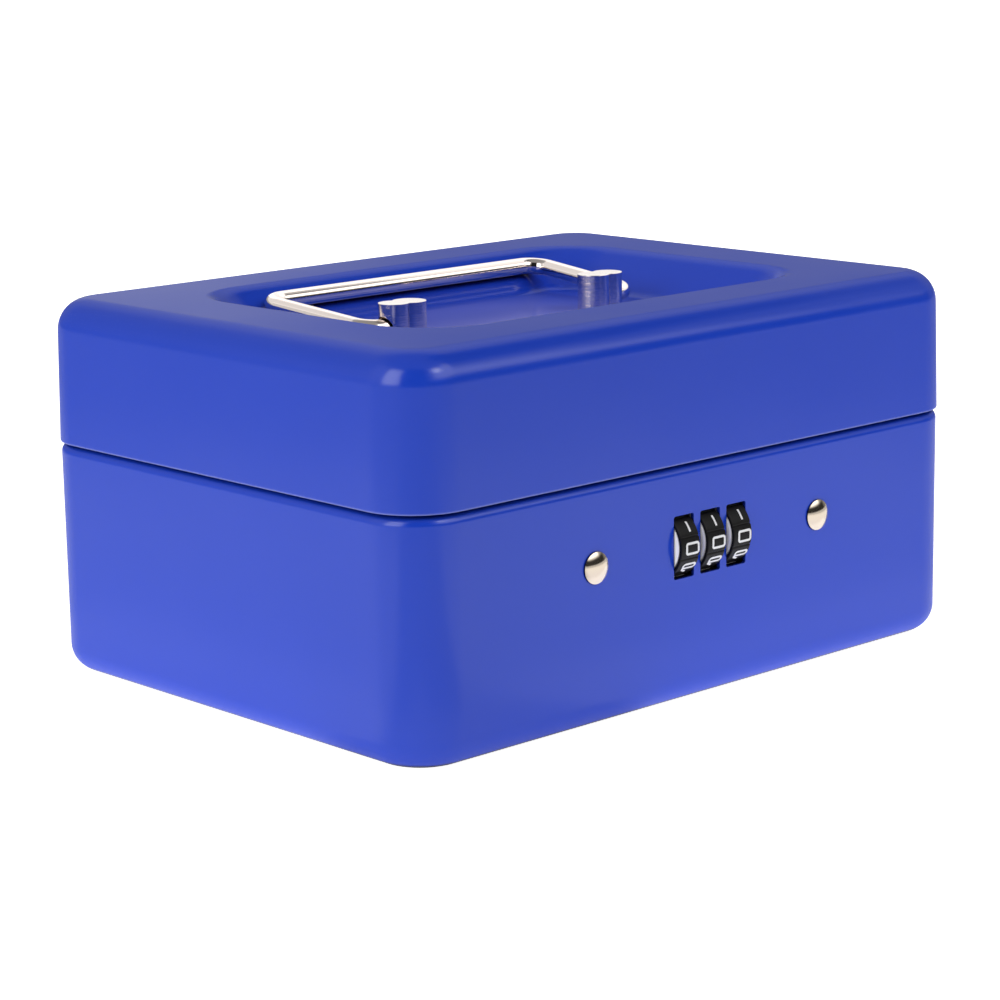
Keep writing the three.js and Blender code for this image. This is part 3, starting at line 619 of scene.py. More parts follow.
def coat(name, worn_and_lit=False):
    """A glossy coat, whose gloss fades at grazing angles, with painted shade in narrow places."""
    look = settings("shells")
    material, tree, shader = surface(name, look.enamel, specular=0.4)
    facing = add(tree, "ShaderNodeLayerWeight", {"Blend": 0.5}).outputs["Facing"]
    gloss = stretched(tree, facing, From_Min=0.3, From_Max=0.78, To_Min=0.5, To_Max=0.04)
    tree.links.new(gloss, shader.inputs["Specular IOR Level"])
    colour = drift(tree, look.enamel, 14.0, 0.04)
    # Painted shade: the colour darkens in narrow places, such as round the rivets and in the slots.
    hollow = placed(tree, crevice_shade(), Reach=0.0016)
    colour = blend_colour(tree, hollow, colour, look.enamel_crevice_shade)
    # Paler edges on the lid: partly worn paint, partly a painted highlight on its rounded edges.
    if worn_and_lit:
        edges = placed(tree, worn_and_lit_edges(), Reach=0.00036)
        colour = blend_colour(tree, edges, colour, look.enamel_worn_lit_edge)
    tree.links.new(colour, shader.inputs["Base Color"])
    mark(tree, shader, look.enamel_roughness, 0.06, 0.03)
    bump(tree, shader, placed(tree, coat_ripple(), Peel=0.06, Wave=2.2), 0.00012, 0.6)
    return material, tree, shader


@cache
def enamel():
    return coat("Blue enamel")[0]


@cache
def lid_enamel():
    """The lid's coat: edges pale with wear and a painted highlight, and a painted sheen in the
    middle of the dish's floor.
    """
    material, tree, shader = coat("Blue enamel of the lid", worn_and_lit=True)
    # A painted sheen: the middle of the dish's floor turns paler at grazing angles, standing in for
    # a brighter reflection.
    spot = add(tree, "ShaderNodeSeparateXYZ", {"Vector": on_surface(tree)})
    faced = add(tree, "ShaderNodeSeparateXYZ", {"Vector": on_surface(tree, "Normal")})
    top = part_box("lid_shell")[1].z
    sunk = smooth_step(tree, spot.outputs["Z"], top - 3.5 * MM, top - 6.5 * MM)
    level = smooth_step(tree, faced.outputs["Z"], 0.8, 0.97)
    aside = vector_node(tree, "MULTIPLY", on_surface(tree), (1.0, 1.0, 0.0))
    central = smooth_step(tree, vector_node(tree, "LENGTH", aside), 52.0 * MM, 22.0 * MM)
    sheen = product(tree, sunk, level, central, 0.45)
    tree.links.new(sheen, shader.inputs["Sheen Weight"])
    shader.inputs["Sheen Roughness"].default_value = 0.5
    shader.inputs["Sheen Tint"].default_value = (0.5, 0.5, 1.0, 1.0)
    return material


def plating(name, colour, roughness, turning=0.0):
    """Bright plated metal, with turning marks of a given depth or else a faint ripple."""
    material, tree, shader = surface(name, colour, metallic=1.0)
    tree.links.new(drift(tree, colour, 160.0, 0.03), shader.inputs["Base Color"])
    mark(tree, shader, roughness, 0.04, 0.06)
    if turning:
        height = placed(tree, rolled_grain(), Scale=900.0, Squeeze=(0.02, 0.02, 8.0))
        bump(tree, shader, height, turning, 0.6)
    else:
        height = placed(tree, coat_ripple(), Peel=0.3, Wave=0.4)
        bump(tree, shader, height, 0.00003, 0.4)
    return material


@cache
def chrome_plate():
    look = settings("handle")
    return plating("Chrome plate", look.chrome, look.chrome_roughness)


@cache
def cast_chrome():
    look = settings("handle")
    return plating("Chrome on castings", look.chrome, look.post_roughness, 0.00004)


@cache
def nickel_plate():
    return plating("Nickel plate", settings("fittings").nickel, 0.08)


def worked_metal(name, colour, roughness, scale):
    """Duller metal, with the lines of rolling, drawing or turning."""
    material, tree, shader = surface(name, colour, metallic=1.0)
    tree.links.new(drift(tree, colour, 120.0, 0.1), shader.inputs["Base Color"])
    grain = placed(tree, rolled_grain(), Scale=scale, Squeeze=(1.0, 14.0, 14.0))
    rough = stretched(tree, grain, To_Min=roughness - 0.08, To_Max=roughness + 0.14)
    tree.links.new(rough, shader.inputs["Roughness"])
    bump(tree, shader, grain, 0.00002, 0.5)
    return material


@cache
def zinc_plate():
    return worked_metal("Zinc plate", settings("fittings").zinc, 0.38, 260.0)


@cache
def spring_steel():
    return worked_metal("Spring steel", settings("fittings").spring, 0.28, 340.0)


@cache
def turned_brass():
    return worked_metal("Turned brass", settings("fittings").brass, 0.3, 420.0)


def moulded(name, colour, roughness, peel, specular=0.45):
    """Moulded plastic or print, with a peel of a given depth."""
    material, tree, shader = surface(name, colour, specular=specular)
    tree.links.new(drift(tree, colour, 260.0, 0.12), shader.inputs["Base Color"])
    mark(tree, shader, roughness, 0.1, 0.15)
    bump(tree, shader, placed(tree, coat_ripple(), Peel=1.0, Wave=0.1), peel, 0.5)
    return material


@cache
def ring_plastic():
    return moulded("Black wheel plastic", settings("wheels").ring, 0.4, 0.00003, 0.2)


@cache
def hub_plastic():
    return moulded("Light hub plastic", settings("wheels").hub, 0.38, 0.00002)


@cache
def digit_print():
    return moulded("White digit print", settings("wheels").digits, 0.5, 0.00001)


# Operators


def hinge_notches(low, high):
    """Cutters for the notches that let the hinges through the back wall."""
    look = settings("shells")
    cutters = []
    for side in SIDES:
        leaf_low, leaf_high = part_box(f"hinge_body_leaf_{side}")
        outline = box_outline(
            leaf_low.x - look.notch_margin,
            leaf_high.x + look.notch_margin,
            leaf_low.y - look.hole_gap,
            leaf_high.y,
        )
        cutters.append(prism(outline, low, high, UPRIGHT))
    return cutters


def sheet_faces(corners):
    """Both faces of a bent sheet: through the corners, and the sheet's thickness to the left."""
    look = settings("shells")
    inner = offset_corners(corners, look.sheet)
    return rounded_path(corners, look.bend_steps), rounded_path(inner, look.bend_steps)


def finish_shell(shell, cutters, body, coat, node):
    """Cuts a shell's openings, rounds its edges and hands it over."""
    carve(shell, cutters)
    round_edges(shell, settings("shells").edge_round)
    smooth(shell)
    hand_over(shell, body, coat, "blue_paint", node)


class LOCKBOX_OT_tray(Operator):
    """Make the tray: floor, walls, stepped lip, slots for the wheels and holes for the rivets"""

    bl_idname = "lockbox.make_tray"
    bl_label = "Tray"

    def execute(self, context):
        look = settings("shells")
        low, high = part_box("body_shell")
        lid_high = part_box("lid_shell")[1]
        centre = (lid_high.x - look.corner, lid_high.y - look.corner)
        shoulder_z = high.z - look.lip_height
        lip = high.x - look.lip_inset
        corners = [
            (centre[0] + 0.5 * MM, low.z, 0.0),
            (high.x, low.z, look.tray_foot),
            (high.x, shoulder_z, look.shoulder),
            (lip, shoulder_z, look.lip_foot),
            (lip, high.z, 0.0),
        ]
        outside, inside = sheet_faces(corners)
        section = outside + inside[::-1]
        tray = skin([box_loop(p.x, p.y, centre, look.corner_steps) for p in section], "tray_shell")
        finish_shell(tray, self.cutters(look, low, high), "box", enamel(), "body_shell")
        return {"FINISHED"}

    def cutters(self, look, low, high):
        front = [-low.y - 2 * look.sheet, -low.y + look.sheet]
        spindle = middle("dial_spindle")
        cutters = []
        for number in NUMBERS:
            ring_low, ring_high, radius = ring_box(number)
            inner_reach = spindle.y - (low.y + look.sheet)
            half_height = math.sqrt(radius**2 - inner_reach**2) + look.slot_end_gap
            outline = box_outline(
                ring_low.x - look.slot_gap,
                ring_high.x + look.slot_gap,
                spindle.z - half_height,
                spindle.z + half_height,
                look.slot_corner,
            )
            cutters.append(prism(outline, *front, TO_FRONT))
        fittings = settings("fittings")
        for side in SIDES:
            rivet = middle(f"lock_rivet_{side}")
            outline = circle(fittings.shank_radius + look.hole_gap, 24, rivet.x, rivet.z)
            cutters.append(prism(outline, *front, TO_FRONT))
        pin_z, barrel = hinge_barrel()
        cutters += hinge_notches(pin_z - barrel - look.hole_gap, high.z + look.sheet)
        return cutters


class LOCKBOX_OT_lid(Operator):
    """Make the lid: walls, rounded top, sunk dish, hinge notches and screw holes"""

    bl_idname = "lockbox.make_lid"
    bl_label = "Lid"

    def execute(self, context):
        look = settings("shells")
        low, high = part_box("lid_shell")
        centre = (high.x - look.corner, high.y - look.corner)
        rim = high.x - look.dish_end
        dish = (rim - look.dish_corner, high.y - look.dish_side - look.dish_corner)
        floor_z = high.z - look.dish_depth
        corners = [
            (high.x, low.z, 0.0),
            (high.x - look.lid_draft, high.z, look.lid_edge),
            (rim, high.z, look.dish_bend),
            (rim - look.dish_run, floor_z, look.dish_bend),
            (dish[0] + 0.5 * MM, floor_z, 0.0),
        ]
        outside, inside = sheet_faces(corners)
        section = inside[::-1] + outside
        plateau = (high.x + rim) / 2
        loops = [
            box_loop(p.x, p.y, centre if p.x > plateau else dish, look.corner_steps)
            for p in section
        ]
        lid = skin(loops, "lid_cover")
        pin_z, barrel = hinge_barrel()
        cutters = hinge_notches(low.z - look.sheet, pin_z + barrel + look.hole_gap)
        for side in SIDES:
            screw = middle(f"post_screw_{side}")
            hole = circle(settings("handle").screw_hole, 24, screw.x, screw.y)
            cutters.append(prism(hole, floor_z - 2 * look.sheet, floor_z + look.sheet, UPRIGHT))
        finish_shell(lid, cutters, "lid", lid_enamel(), "lid_shell")
        return {"FINISHED"}


def swept_wire(points, radius, sides, name):
    """A round wire along points in one plane, whose normal is Z, with flat ends."""
    loops = []
    for i, point in enumerate(points):
        before = points[max(i - 1, 0)]
        after = points[min(i + 1, len(points) - 1)]
        along = (after - before).normalized()
        across = Vector((-along.y, along.x, 0.0))
        loop = [
            point + across * (radius * math.cos(turn)) + Vector((0, 0, radius * math.sin(turn)))
            for turn in (2 * math.pi * side / sides for side in range(sides))
        ]
        loops.append(loop)
    return skin(loops, name)


class LOCKBOX_OT_bail(Operator):
    """Make the bail: one bent wire, lying back against the wall of the dish"""

    bl_idname = "lockbox.make_bail"
    bl_label = "Bail"

    def execute(self, context):
        look = settings("handle")
        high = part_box("handle_bail")[1]
        pivot = handle_pivot()
        rise = high.z - look.wire - pivot[2]
        out = high.y - look.wire
        reach = math.hypot(out, rise)
        ear_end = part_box("handle_post_right")[1].x
        end = ear_end - look.end_depth
        right = [
            (look.grip_place, reach, look.grip_bend),
            (look.arm_place, 0.0, look.end_bend),
            (end, 0.0, 0.0),
        ]
        left = [(-x, y, bend) for x, y, bend in reversed(right)]
        points = [p.to_3d() for p in rounded_path(left + right, 14)]
        bail = swept_wire(points, look.wire, look.wire_sides, "bail_wire")
        place = Matrix.Translation(pivot) @ Matrix.Rotation(math.atan2(rise, out), 4, "X")
        bail.data.transform(place)
        round_edges(bail, look.wire_edge, 3)
        smooth(bail)
        hand_over(bail, "handle", chrome_plate(), "chrome_plate", "handle_bail")
        return {"FINISHED"}


class LOCKBOX_OT_posts(Operator):
    """Make the two posts that carry the bail"""

    bl_idname = "lockbox.make_posts"
    bl_label = "Posts"

    def execute(self, context):
        for side, sign in (("left", -1), ("right", 1)):
            self.make_post(side, sign)
        return {"FINISHED"}

    def make_post(self, side, sign):
        look = settings("handle")
        low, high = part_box(f"handle_post_{side}")
        screw = middle(f"post_screw_{side}")
        turned = Matrix.Rotation(0.0 if sign > 0 else math.pi, 4, "Z")
        place = Matrix.Translation((screw.x, screw.y, 0.0)) @ turned
        outline = self.outline(look)
        post = prism(outline, low.z, high.z, place, f"post_body_{side}")
        ear_end = look.ear_offset + look.ear
        wire_hole = circle(look.post_hole, 32, 0.0, handle_pivot()[2])
        start = ear_end - look.end_depth - look.hole_gap
        screw_hole = circle(look.screw_hole, 24)
        cutters = [
            prism(wire_hole, start, ear_end + look.ear, place @ ALONG_X),
            prism(screw_hole, low.z - MM, low.z + look.screw_depth, place),
        ]
        carve(post, cutters)
        round_edges(post, look.post_edge, 4, math.radians(60))
        smooth(post)
        hand_over(post, "lid", cast_chrome(), "chrome_plate", f"handle_post_{side}")

    def outline(self, look):
        meeting = (look.lobe**2 - look.ear**2 + look.ear_offset**2) / (2 * look.ear_offset)
        boss_angle = math.acos(meeting / look.lobe)
        ear_angle = math.pi - math.acos((look.ear_offset - meeting) / look.ear)
        steps = 28
        turns = [boss_angle + (2 * math.pi - 2 * boss_angle) * i / steps for i in range(steps + 1)]
        outline = [Vector((look.lobe * math.cos(a), look.lobe * math.sin(a))) for a in turns]
        for step in range(1, steps):
            turn = -ear_angle + 2 * ear_angle * step / steps
            x = look.ear_offset + look.ear * math.cos(turn)
            outline.append(Vector((x, look.ear * math.sin(turn))))
        return outline


class LOCKBOX_OT_rivets(Operator):
    """Make the two domed rivets beside the wheels"""

    bl_idname = "lockbox.make_rivets"
    bl_label = "Rivets"

    def execute(self, context):
        look = settings("fittings")
        flank = look.rivet_flank
        cap = look.rivet_height - flank
        dome_radius = (look.rivet_radius**2 + cap**2) / (2 * cap)
        widest = math.asin(look.rivet_radius / dome_radius)
        steps = 12
        for side in SIDES:
            low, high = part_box(f"lock_rivet_{side}")
            centre = middle(f"lock_rivet_{side}")
            crown = -low.y
            seat = crown - look.rivet_height
            tail = -high.y
            profile = [
                (look.tail_radius - look.tail_edge, tail),
                (look.tail_radius, tail + look.tail_edge),
                (look.tail_radius, tail + look.tail_height),
                (look.shank_radius, tail + look.tail_height),
                (look.shank_radius, seat),
                (look.rivet_radius - 0.1 * MM, seat),
                (look.rivet_radius, seat + 0.1 * MM),
            ]
            for step in range(steps):
                angle = widest * (1 - step / steps)
                drop = dome_radius * (1 - math.cos(angle))
                profile.append((dome_radius * math.sin(angle), crown - drop))
            place = Matrix.Translation((centre.x, 0.0, centre.z)) @ TO_FRONT
            rivet = lathe(profile, 48, place, f"rivet_{side}")
            smooth(rivet, math.radians(40))
            hand_over(rivet, "box", nickel_plate(), "nickel_plate", f"lock_rivet_{side}")
        return {"FINISHED"}


# Each digit's strokes, drawn between shares of its width and height from its middle
STROKE_SHARES = {
    0: [("closed", (-1, -1), (1, -1), (1, 1), (-1, 1))],
    1: [("open", (0, -1.05), (0, 1.15))],
    2: [("open", (-1, 1), (1, 1), (1, 0), (-1, 0), (-1, -1), (1, -1))],
    3: [("open", (-1, 1), (1, 1), (1, -1), (-1, -1)), ("open", (-0.7, 0), (1, 0))],
    4: [("open", (-1, 1), (-1, 0), (1, 0)), ("open", (1, 1), (1, -1))],
    5: [("open", (1, 1), (-1, 1), (-1, 0), (1, 0), (1, -1), (-1, -1))],
    6: [("open", (1, 1), (-1, 1), (-1, -1), (1, -1), (1, 0), (-1, 0))],
    7: [("open", (-1, 1), (1, 1), (1, -1))],
    8: [("closed", (-1, -1), (1, -1), (1, 1), (-1, 1)), ("open", (-1, 0), (1, 0))],
    9: [
        ("oval", (-1, 0), (1, 0), (1, 1), (-1, 1)),
        ("open", (-0.95, 0.5), (-0.95, -0.4), (-0.2, -0.9)),
    ],
}

# The section of a groove between two digits: shares of its half angle and of its depth
GROOVE_SHARES = ((-1, 0), (-0.7, 0.2), (-0.3, 0.85), (0.3, 0.85), (0.7, 0.2), (1, 0))


class LOCKBOX_OT_wheels(Operator):
    """Make the number wheels: ribbed rings, printed digits and hubs"""

    bl_idname = "lockbox.make_wheels"
    bl_label = "Number wheels"

    def execute(self, context):
        for number in NUMBERS:
            self.make_ring(number)
            self.make_digits(number)
            self.make_hub(number)
        return {"FINISHED"}

    def place(self, number):
        """The wheel's own frame: its axis along X, and its first digit facing the front."""
        centre = middle(f"dial_hub_{number}")
        spindle = middle("dial_spindle")
        return Matrix.Translation((centre.x, spindle.y, spindle.z))

    def make_ring(self, number):
        look = settings("wheels")
        low, high, radius = ring_box(number)
        half = (high.x - low.x) / 2
        outline = []
        pitch = math.pi / 5
        for digit in range(10):
            valley = (digit + 0.5) * pitch
            for share, depth in GROOVE_SHARES:
                outline.append((valley + share * look.groove_angle, radius - depth * look.groove))
            land = pitch - 2 * look.groove_angle
            for step in range(1, 12):
                outline.append((valley + look.groove_angle + land * step / 12, radius))
        bore = radius - look.rim
        rows = [
            (-half, -look.edge),
            (-half + 0.3 * look.edge, -0.3 * look.edge),
            (-half + look.edge, 0.0),
            (half - look.edge, 0.0),
            (half - 0.3 * look.edge, -0.3 * look.edge),
            (half, -look.edge),
        ]
        sections = [(along, [(a, r + inset) for a, r in outline]) for along, inset in rows]
        sections += [(along, [(a, bore) for a, r in outline]) for along in (half, -half)]
        loops = [
            [Vector((along, r * math.cos(a), r * math.sin(a))) for a, r in section]
            for along, section in sections
        ]
        ring = skin(loops, f"wheel_ring_{number}", wrap=True)
        ring.data.transform(self.place(number) @ Matrix.Rotation(math.pi, 4, "Z"))
        smooth(ring, math.radians(30))
        hand_over(ring, f"dial_{number}", ring_plastic(), "black_plastic", f"dial_ring_{number}")

    def make_digits(self, number):
        look = settings("wheels")
        radius = ring_box(number)[2]
        bm = bmesh.new()
        for digit, strokes in STROKE_SHARES.items():
            turn = Matrix.Rotation(look.digit_drop - digit * math.pi / 5, 4, "X")
            for kind, *shares in strokes:
                corner = look.oval_corner if kind == "oval" else look.digit_corner
                corners = [
                    (x * look.digit_width / 2, y * look.digit_height / 2, corner) for x, y in shares
                ]
                closed = kind != "open"
                path = self.evenly(rounded_path(corners, 6, closed=closed), closed)
                self.add_stroke(bm, path, closed, radius, self.place(number) @ turn)
        bmesh.ops.recalc_face_normals(bm, faces=bm.faces)
        digits = object_of(bm, f"wheel_digits_{number}")
        hand_over(digits, f"dial_{number}", digit_print(), "white_plastic")

    def evenly(self, path, closed):
        """The same path with long runs divided, so that it can follow the ring."""
        ends = path[1:] + path[:1] if closed else path[1:]
        divided = []
        for here, ahead in zip(path, ends):
            parts = max(1, math.ceil((ahead - here).length / (0.3 * MM)))
            divided += [here.lerp(ahead, part / parts) for part in range(parts)]
        return divided if closed else divided + [path[-1]]

    def add_stroke(self, bm, path, closed, radius, place):
        """A ribbon of the stroke's width, wrapped round the ring and a little proud of it."""
        look = settings("wheels")

        def on_ring(point, height):
            reach, turn = radius + height, point.y / radius
            x = point.x + look.digit_shift
            return place @ Vector((x, -reach * math.cos(turn), reach * math.sin(turn)))

        half = look.stroke / 2
        count = len(path)
        rails = []
        for i, point in enumerate(path):
            before = path[(i - 1) % count] if closed else path[max(i - 1, 0)]
            after = path[(i + 1) % count] if closed else path[min(i + 1, count - 1)]
            first = (point - before).normalized() if (point - before).length else None
            last = (after - point).normalized() if (after - point).length else None
            along = ((first or last) + (last or first)).normalized()
            side = Vector((-along.y, along.x))
            reach = half / max(0.5, along.dot(last or first))
            rails.append((point + side * reach, point - side * reach))
        rise = look.stroke_rise
        rows = []
        for left, right in rails:
            section = ((left, -rise), (left, rise), (right, rise), (right, -rise))
            rows.append([bm.verts.new(on_ring(p, height)) for p, height in section])
        bridge(bm, rows, closed)

    def make_hub(self, number):
        hub = frame["nodes"][f"dial_hub_{number}"]
        hub.data.materials.clear()
        hub.data.materials.append(hub_plastic())


# Which finish each remaining node of the lock, the hinges and the handle's fixings has
NODE_FINISHES = {
    zinc_plate: ["lock_case", "dial_spindle", "reset_lever", "lid_hook"]
    + [f"{kind}_{side}" for kind in ("hinge_pin", "post_screw", "post_washer") for side in SIDES],
    spring_steel: ["spindle_clip", "detent_spring", "catch_spring"],
    turned_brass: [f"cam_sleeve_{number}" for number in NUMBERS],
    enamel: [f"hinge_{part}_leaf_{side}" for part in ("body", "lid") for side in SIDES],
}
BROKEN_EDGE = 0.08 * MM


class LOCKBOX_OT_lockwork(Operator):
    """Finish the lock, the hinges and the fixings inside"""

    bl_idname = "lockbox.finish_lockwork"
    bl_label = "Lock, hinges and fixings"

    def execute(self, context):
        for finish, nodes in NODE_FINISHES.items():
            for node in nodes:
                piece = frame["nodes"][node]
                piece.data.materials.clear()
                piece.data.materials.append(finish())
                bevel = piece.modifiers.new("round", "BEVEL")
                bevel.width = BROKEN_EDGE
                bevel.segments = 1
                bevel.limit_method = "ANGLE"
                bevel.angle_limit = math.radians(50)
        return {"FINISHED"}


# The floor: its level and half width, how much wider the edge of its painted pool of glow is, how
# far its camera side has painted shade and by how much, half the box's width and depth, and where
# the painted glow beside it fades
FLOOR_LEVEL = -0.02 * MM
FLOOR_HALF = 4.0
POOL_FADE = 1.9
SHADE_ANGLES = (31.0, 20.0)
SHADE_SHARE = 0.75
BOX_HALF = {"X": 76.0 * MM, "Y": 57.0 * MM}
GLOW_REACH = (48.0 * MM, 24.0 * MM)

# Patches of the sky: bearing, then edge and full angles round it, then the elevations, edge
# and full, where it rises and where it falls, in degrees, and how dark or bright it is
HIGH_DARK = (-8, (32, 12), (36, 45), (82, 66), 0.85)
LOW_DARK = (-62, (54, 36), (-2, 1), (21, 12), 0.9)
VIEWER_DARK = ((35, 22), (-9, -8), (68, 50), 0.97)
SOFT_BOXES = (
    (-176, (21, 11), (-2, 12), (57, 45), 2.8),
    (158, (38, 14), (-5, 5), (60, 40), 0.3),
    (-65, (33, 20), (13, 27), (58, 46), 1.6),
    (-77, (12, 5), (35, 43), (54, 48), 4.2),
    (50, (40, 12), (18, 34), (66, 50), 0.22),
    (58, (10, 3), (1, 5), (30, 16), 0.27),
)

# Cards: bearing and elevation in degrees, width and height in metres, radiance
HANDLE_CARDS = {
    "wide_card": (17.0, 28.0, 2.2, 0.92, 0.66),
    "high_card": (6.0, 42.0, 0.66, 0.66, 0.4),
    "side_card": (98.0, 36.0, 1.1, 0.55, 0.4),
}
HUB_CARDS = {"hub_card": (-150.0, 16.0, 0.5, 0.5, 5.0)}
CARD_AIM = Vector((0.0, 0.0, 0.07))
CAMERA_TARGET = Vector((-0.0020929, 0.0, 0.031293))


def round_bearing(tree, place, azimuth, edge, full):
    """A mask round a bearing, one within the full angle and nothing past the edge angle."""
    return placed(
        tree,
        bearing_mask(),
        Place=place,
        Bearing=(math.cos(azimuth), math.sin(azimuth), 0.0),
        Edge=math.cos(math.radians(edge)),
        Full=math.cos(math.radians(full)),
    )


def patch(tree, ways, height, azimuth, spread, low, high, strength):
    """A soft patch in the sky, from the values that the table gives for it."""
    around = round_bearing(tree, ways, math.radians(azimuth), *spread)
    rise = smooth_step(tree, height, *(math.sin(math.radians(angle)) for angle in low))
    fall = smooth_step(tree, height, *(math.sin(math.radians(angle)) for angle in high))
    return product(tree, around, product(tree, rise, fall), strength)


def card(name, azimuth, elevation, width, height, radiance):
    """A white card a metre from the part, whose power follows from its radiance."""
    turn, rise = math.radians(azimuth), math.radians(elevation)
    flat = math.cos(rise)
    away = Vector((math.cos(turn) * flat, math.sin(turn) * flat, math.sin(rise)))
    light = bpy.data.lights.new(name, "AREA")
    light.shape = "RECTANGLE"
    light.size, light.size_y = width, height
    light.energy = radiance * math.pi * width * height
    lamp = bpy.data.objects.new(name, light)
    lamp.rotation_euler = away.to_track_quat("Z", "Y").to_euler()
    lamp.location = away + CARD_AIM
    lamp.visible_camera = False
    bpy.context.scene.collection.objects.link(lamp)
    return lamp


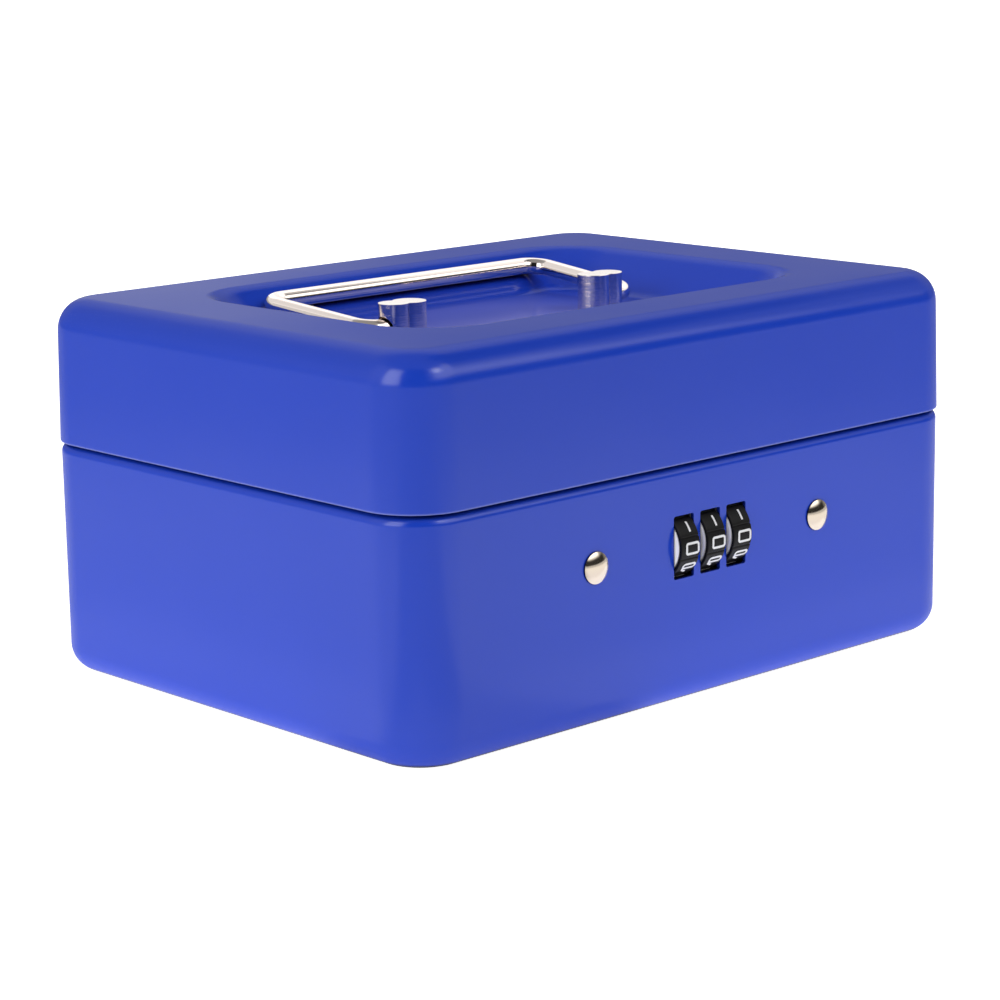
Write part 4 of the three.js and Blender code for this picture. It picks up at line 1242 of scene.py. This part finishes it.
class LOCKBOX_OT_stage(Operator):
    """Set up the floor, the light and the camera"""

    bl_idname = "lockbox.set_stage"
    bl_label = "Stage"

    def execute(self, context):
        self.make_floor()
        self.make_world()
        self.make_lamps()
        self.make_camera()
        bpy.context.scene.view_settings.view_transform = "Standard"
        return {"FINISHED"}

    def make_floor(self):
        look = settings("stage")
        bm = bmesh.new()
        corners = box_outline(-FLOOR_HALF, FLOOR_HALF, -FLOOR_HALF, FLOOR_HALF)
        bm.faces.new([bm.verts.new((corner.x, corner.y, FLOOR_LEVEL)) for corner in corners])
        floor = object_of(bm, "floor")
        material, tree, shader = surface("Studio floor", look.floor)
        rough = stretched(tree, noise(tree, 3.0, 2.0), To_Min=0.85)
        tree.links.new(rough, shader.inputs["Roughness"])
        # Painted light on the floor: for all but camera rays it glows in a pool round the part,
        # with painted shade on the camera's side and more painted glow close beside the box.
        place = on_surface(tree)
        away = vector_node(tree, "LENGTH", place)
        pool = smooth_step(tree, away, look.pool_reach * POOL_FADE, look.pool_reach)
        shade = round_bearing(tree, place, look.camera_azimuth - math.pi / 2, *SHADE_ANGLES)
        spread = product(tree, pool, look.pool_strength, without(tree, shade, SHADE_SHARE))
        spot = add(tree, "ShaderNodeSeparateXYZ", {"Vector": place})
        sides = []
        for axis, half_size in BOX_HALF.items():
            out = math_node(tree, "ABSOLUTE", spot.outputs[axis], 0.0)
            sides.append(math_node(tree, "SUBTRACT", out, half_size))
        beside = smooth_step(tree, math_node(tree, "MAXIMUM", *sides), *GLOW_REACH)
        glow = math_node(tree, "ADD", spread, product(tree, beside, look.foot_glow))
        path = add(tree, "ShaderNodeLightPath")
        seen = add(tree, "ShaderNodeMix", {"Factor": path.outputs["Is Camera Ray"]})
        tree.links.new(glow, seen.inputs[2])
        seen.inputs[3].default_value = look.white_strength
        shader.inputs["Emission Strength"].default_value = 1.0
        tree.links.new(seen.outputs[0], shader.inputs["Emission Color"])
        floor.data.materials.append(material)

    def make_world(self):
        look = settings("stage")
        world = bpy.data.worlds.new("Studio")
        world.use_nodes = True
        tree = world.node_tree
        ways = on_surface(tree, "Generated")
        height = add(tree, "ShaderNodeSeparateXYZ", {"Vector": ways}).outputs["Z"]
        viewer = math.degrees(look.camera_azimuth - math.pi / 2)
        behind = patch(tree, ways, height, viewer, *VIEWER_DARK)
        dark = math_node(tree, "ADD", behind, patch(tree, ways, height, *HIGH_DARK))
        low_dark = patch(tree, ways, height, *LOW_DARK)
        horizon = stretched(tree, height, From_Max=0.3, To_Min=0.62)
        zenith = smooth_step(tree, height, 0.7, 0.97)
        light = product(
            tree,
            without(tree, dark),
            horizon,
            without(tree, low_dark),
            without(tree, zenith, 0.3),
            look.sky_strength,
        )
        for *where, radiance in SOFT_BOXES:
            box = patch(tree, ways, height, *where, radiance * look.box_strength)
            light = math_node(tree, "ADD", light, box)
        sky = tree.nodes["Background"]
        sky.inputs["Color"].default_value = (*look.sky, 1.0)
        tree.links.new(light, sky.inputs["Strength"])
        plain = {"Color": (1.0, 1.0, 1.0, 1.0), "Strength": look.white_strength}
        white = add(tree, "ShaderNodeBackground", plain)
        path = add(tree, "ShaderNodeLightPath")
        mix = add(tree, "ShaderNodeMixShader", {"Fac": path.outputs["Is Camera Ray"]})
        tree.links.new(sky.outputs["Background"], mix.inputs[1])
        tree.links.new(white.outputs["Background"], mix.inputs[2])
        tree.links.new(mix.outputs["Shader"], tree.nodes["World Output"].inputs["Surface"])
        bpy.context.scene.world = world

    def make_lamps(self):
        """White cards that are linked to the plated handle alone, or to the hubs alone."""
        plated = [bpy.data.objects[n] for n in ("bail_wire", "post_body_left", "post_body_right")]
        hubs = [frame["nodes"][f"dial_hub_{number}"] for number in NUMBERS]
        for name, pieces, cards in (
            ("plated_handle", plated, HANDLE_CARDS),
            ("wheel_hubs", hubs, HUB_CARDS),
        ):
            lit = bpy.data.collections.new(name)
            for piece in pieces:
                lit.objects.link(piece)
            for label, values in cards.items():
                card(label, *values).light_linking.receiver_collection = lit

    def make_camera(self):
        look = settings("stage")
        data = bpy.data.cameras.new("camera")
        data.lens = look.lens
        data.sensor_width = 36.0
        data.clip_start = 0.01
        data.clip_end = 50.0
        azimuth, elevation = look.camera_azimuth, look.camera_elevation
        flat = math.cos(elevation)
        back = Vector((math.sin(azimuth) * flat, -math.cos(azimuth) * flat, math.sin(elevation)))
        right = (-back).cross(Vector((0, 0, 1))).normalized()
        up = right.cross(-back)
        rolled_right = math.cos(look.roll) * right + math.sin(look.roll) * up
        rolled_up = -math.sin(look.roll) * right + math.cos(look.roll) * up
        turned = Matrix((rolled_right, rolled_up, back)).transposed().to_4x4()
        camera = bpy.data.objects.new("camera", data)
        place = Matrix.Translation(CAMERA_TARGET + back * look.camera_distance)
        camera.matrix_world = place @ turned
        bpy.context.scene.collection.objects.link(camera)
        bpy.context.scene.camera = camera


PIECES = (
    LOCKBOX_OT_tray,
    LOCKBOX_OT_lid,
    LOCKBOX_OT_bail,
    LOCKBOX_OT_posts,
    LOCKBOX_OT_rivets,
    LOCKBOX_OT_wheels,
    LOCKBOX_OT_lockwork,
    LOCKBOX_OT_stage,
)

GROUPS = {
    "lockbox_shells": LOCKBOX_PG_shells,
    "lockbox_handle": LOCKBOX_PG_handle,
    "lockbox_wheels": LOCKBOX_PG_wheels,
    "lockbox_fittings": LOCKBOX_PG_fittings,
    "lockbox_stage": LOCKBOX_PG_stage,
}


class LOCKBOX_PT_panel(Panel):
    """Lists the pieces of the lock box"""

    bl_idname = "LOCKBOX_PT_panel"
    bl_label = "Lock Box"
    bl_space_type = "VIEW_3D"
    bl_region_type = "UI"
    bl_category = "Lock Box"

    def draw(self, context):
        for piece in PIECES:
            self.layout.operator(piece.bl_idname)


def register():
    for group in (*GROUPS.values(), *PIECES, LOCKBOX_PT_panel):
        bpy.utils.register_class(group)
    for name, group in GROUPS.items():
        setattr(bpy.types.Scene, name, PointerProperty(type=group))


def unregister():
    for name in GROUPS:
        delattr(bpy.types.Scene, name)
    for group in reversed((*GROUPS.values(), *PIECES, LOCKBOX_PT_panel)):
        bpy.utils.unregister_class(group)


def main():
    register()
    bpy.ops.lockbox.make_tray()
    bpy.ops.lockbox.make_lid()
    bpy.ops.lockbox.make_bail()
    bpy.ops.lockbox.make_posts()
    bpy.ops.lockbox.make_rivets()
    bpy.ops.lockbox.make_wheels()
    bpy.ops.lockbox.finish_lockwork()
    bpy.ops.lockbox.set_stage()


if __name__ == "__main__":
    main()
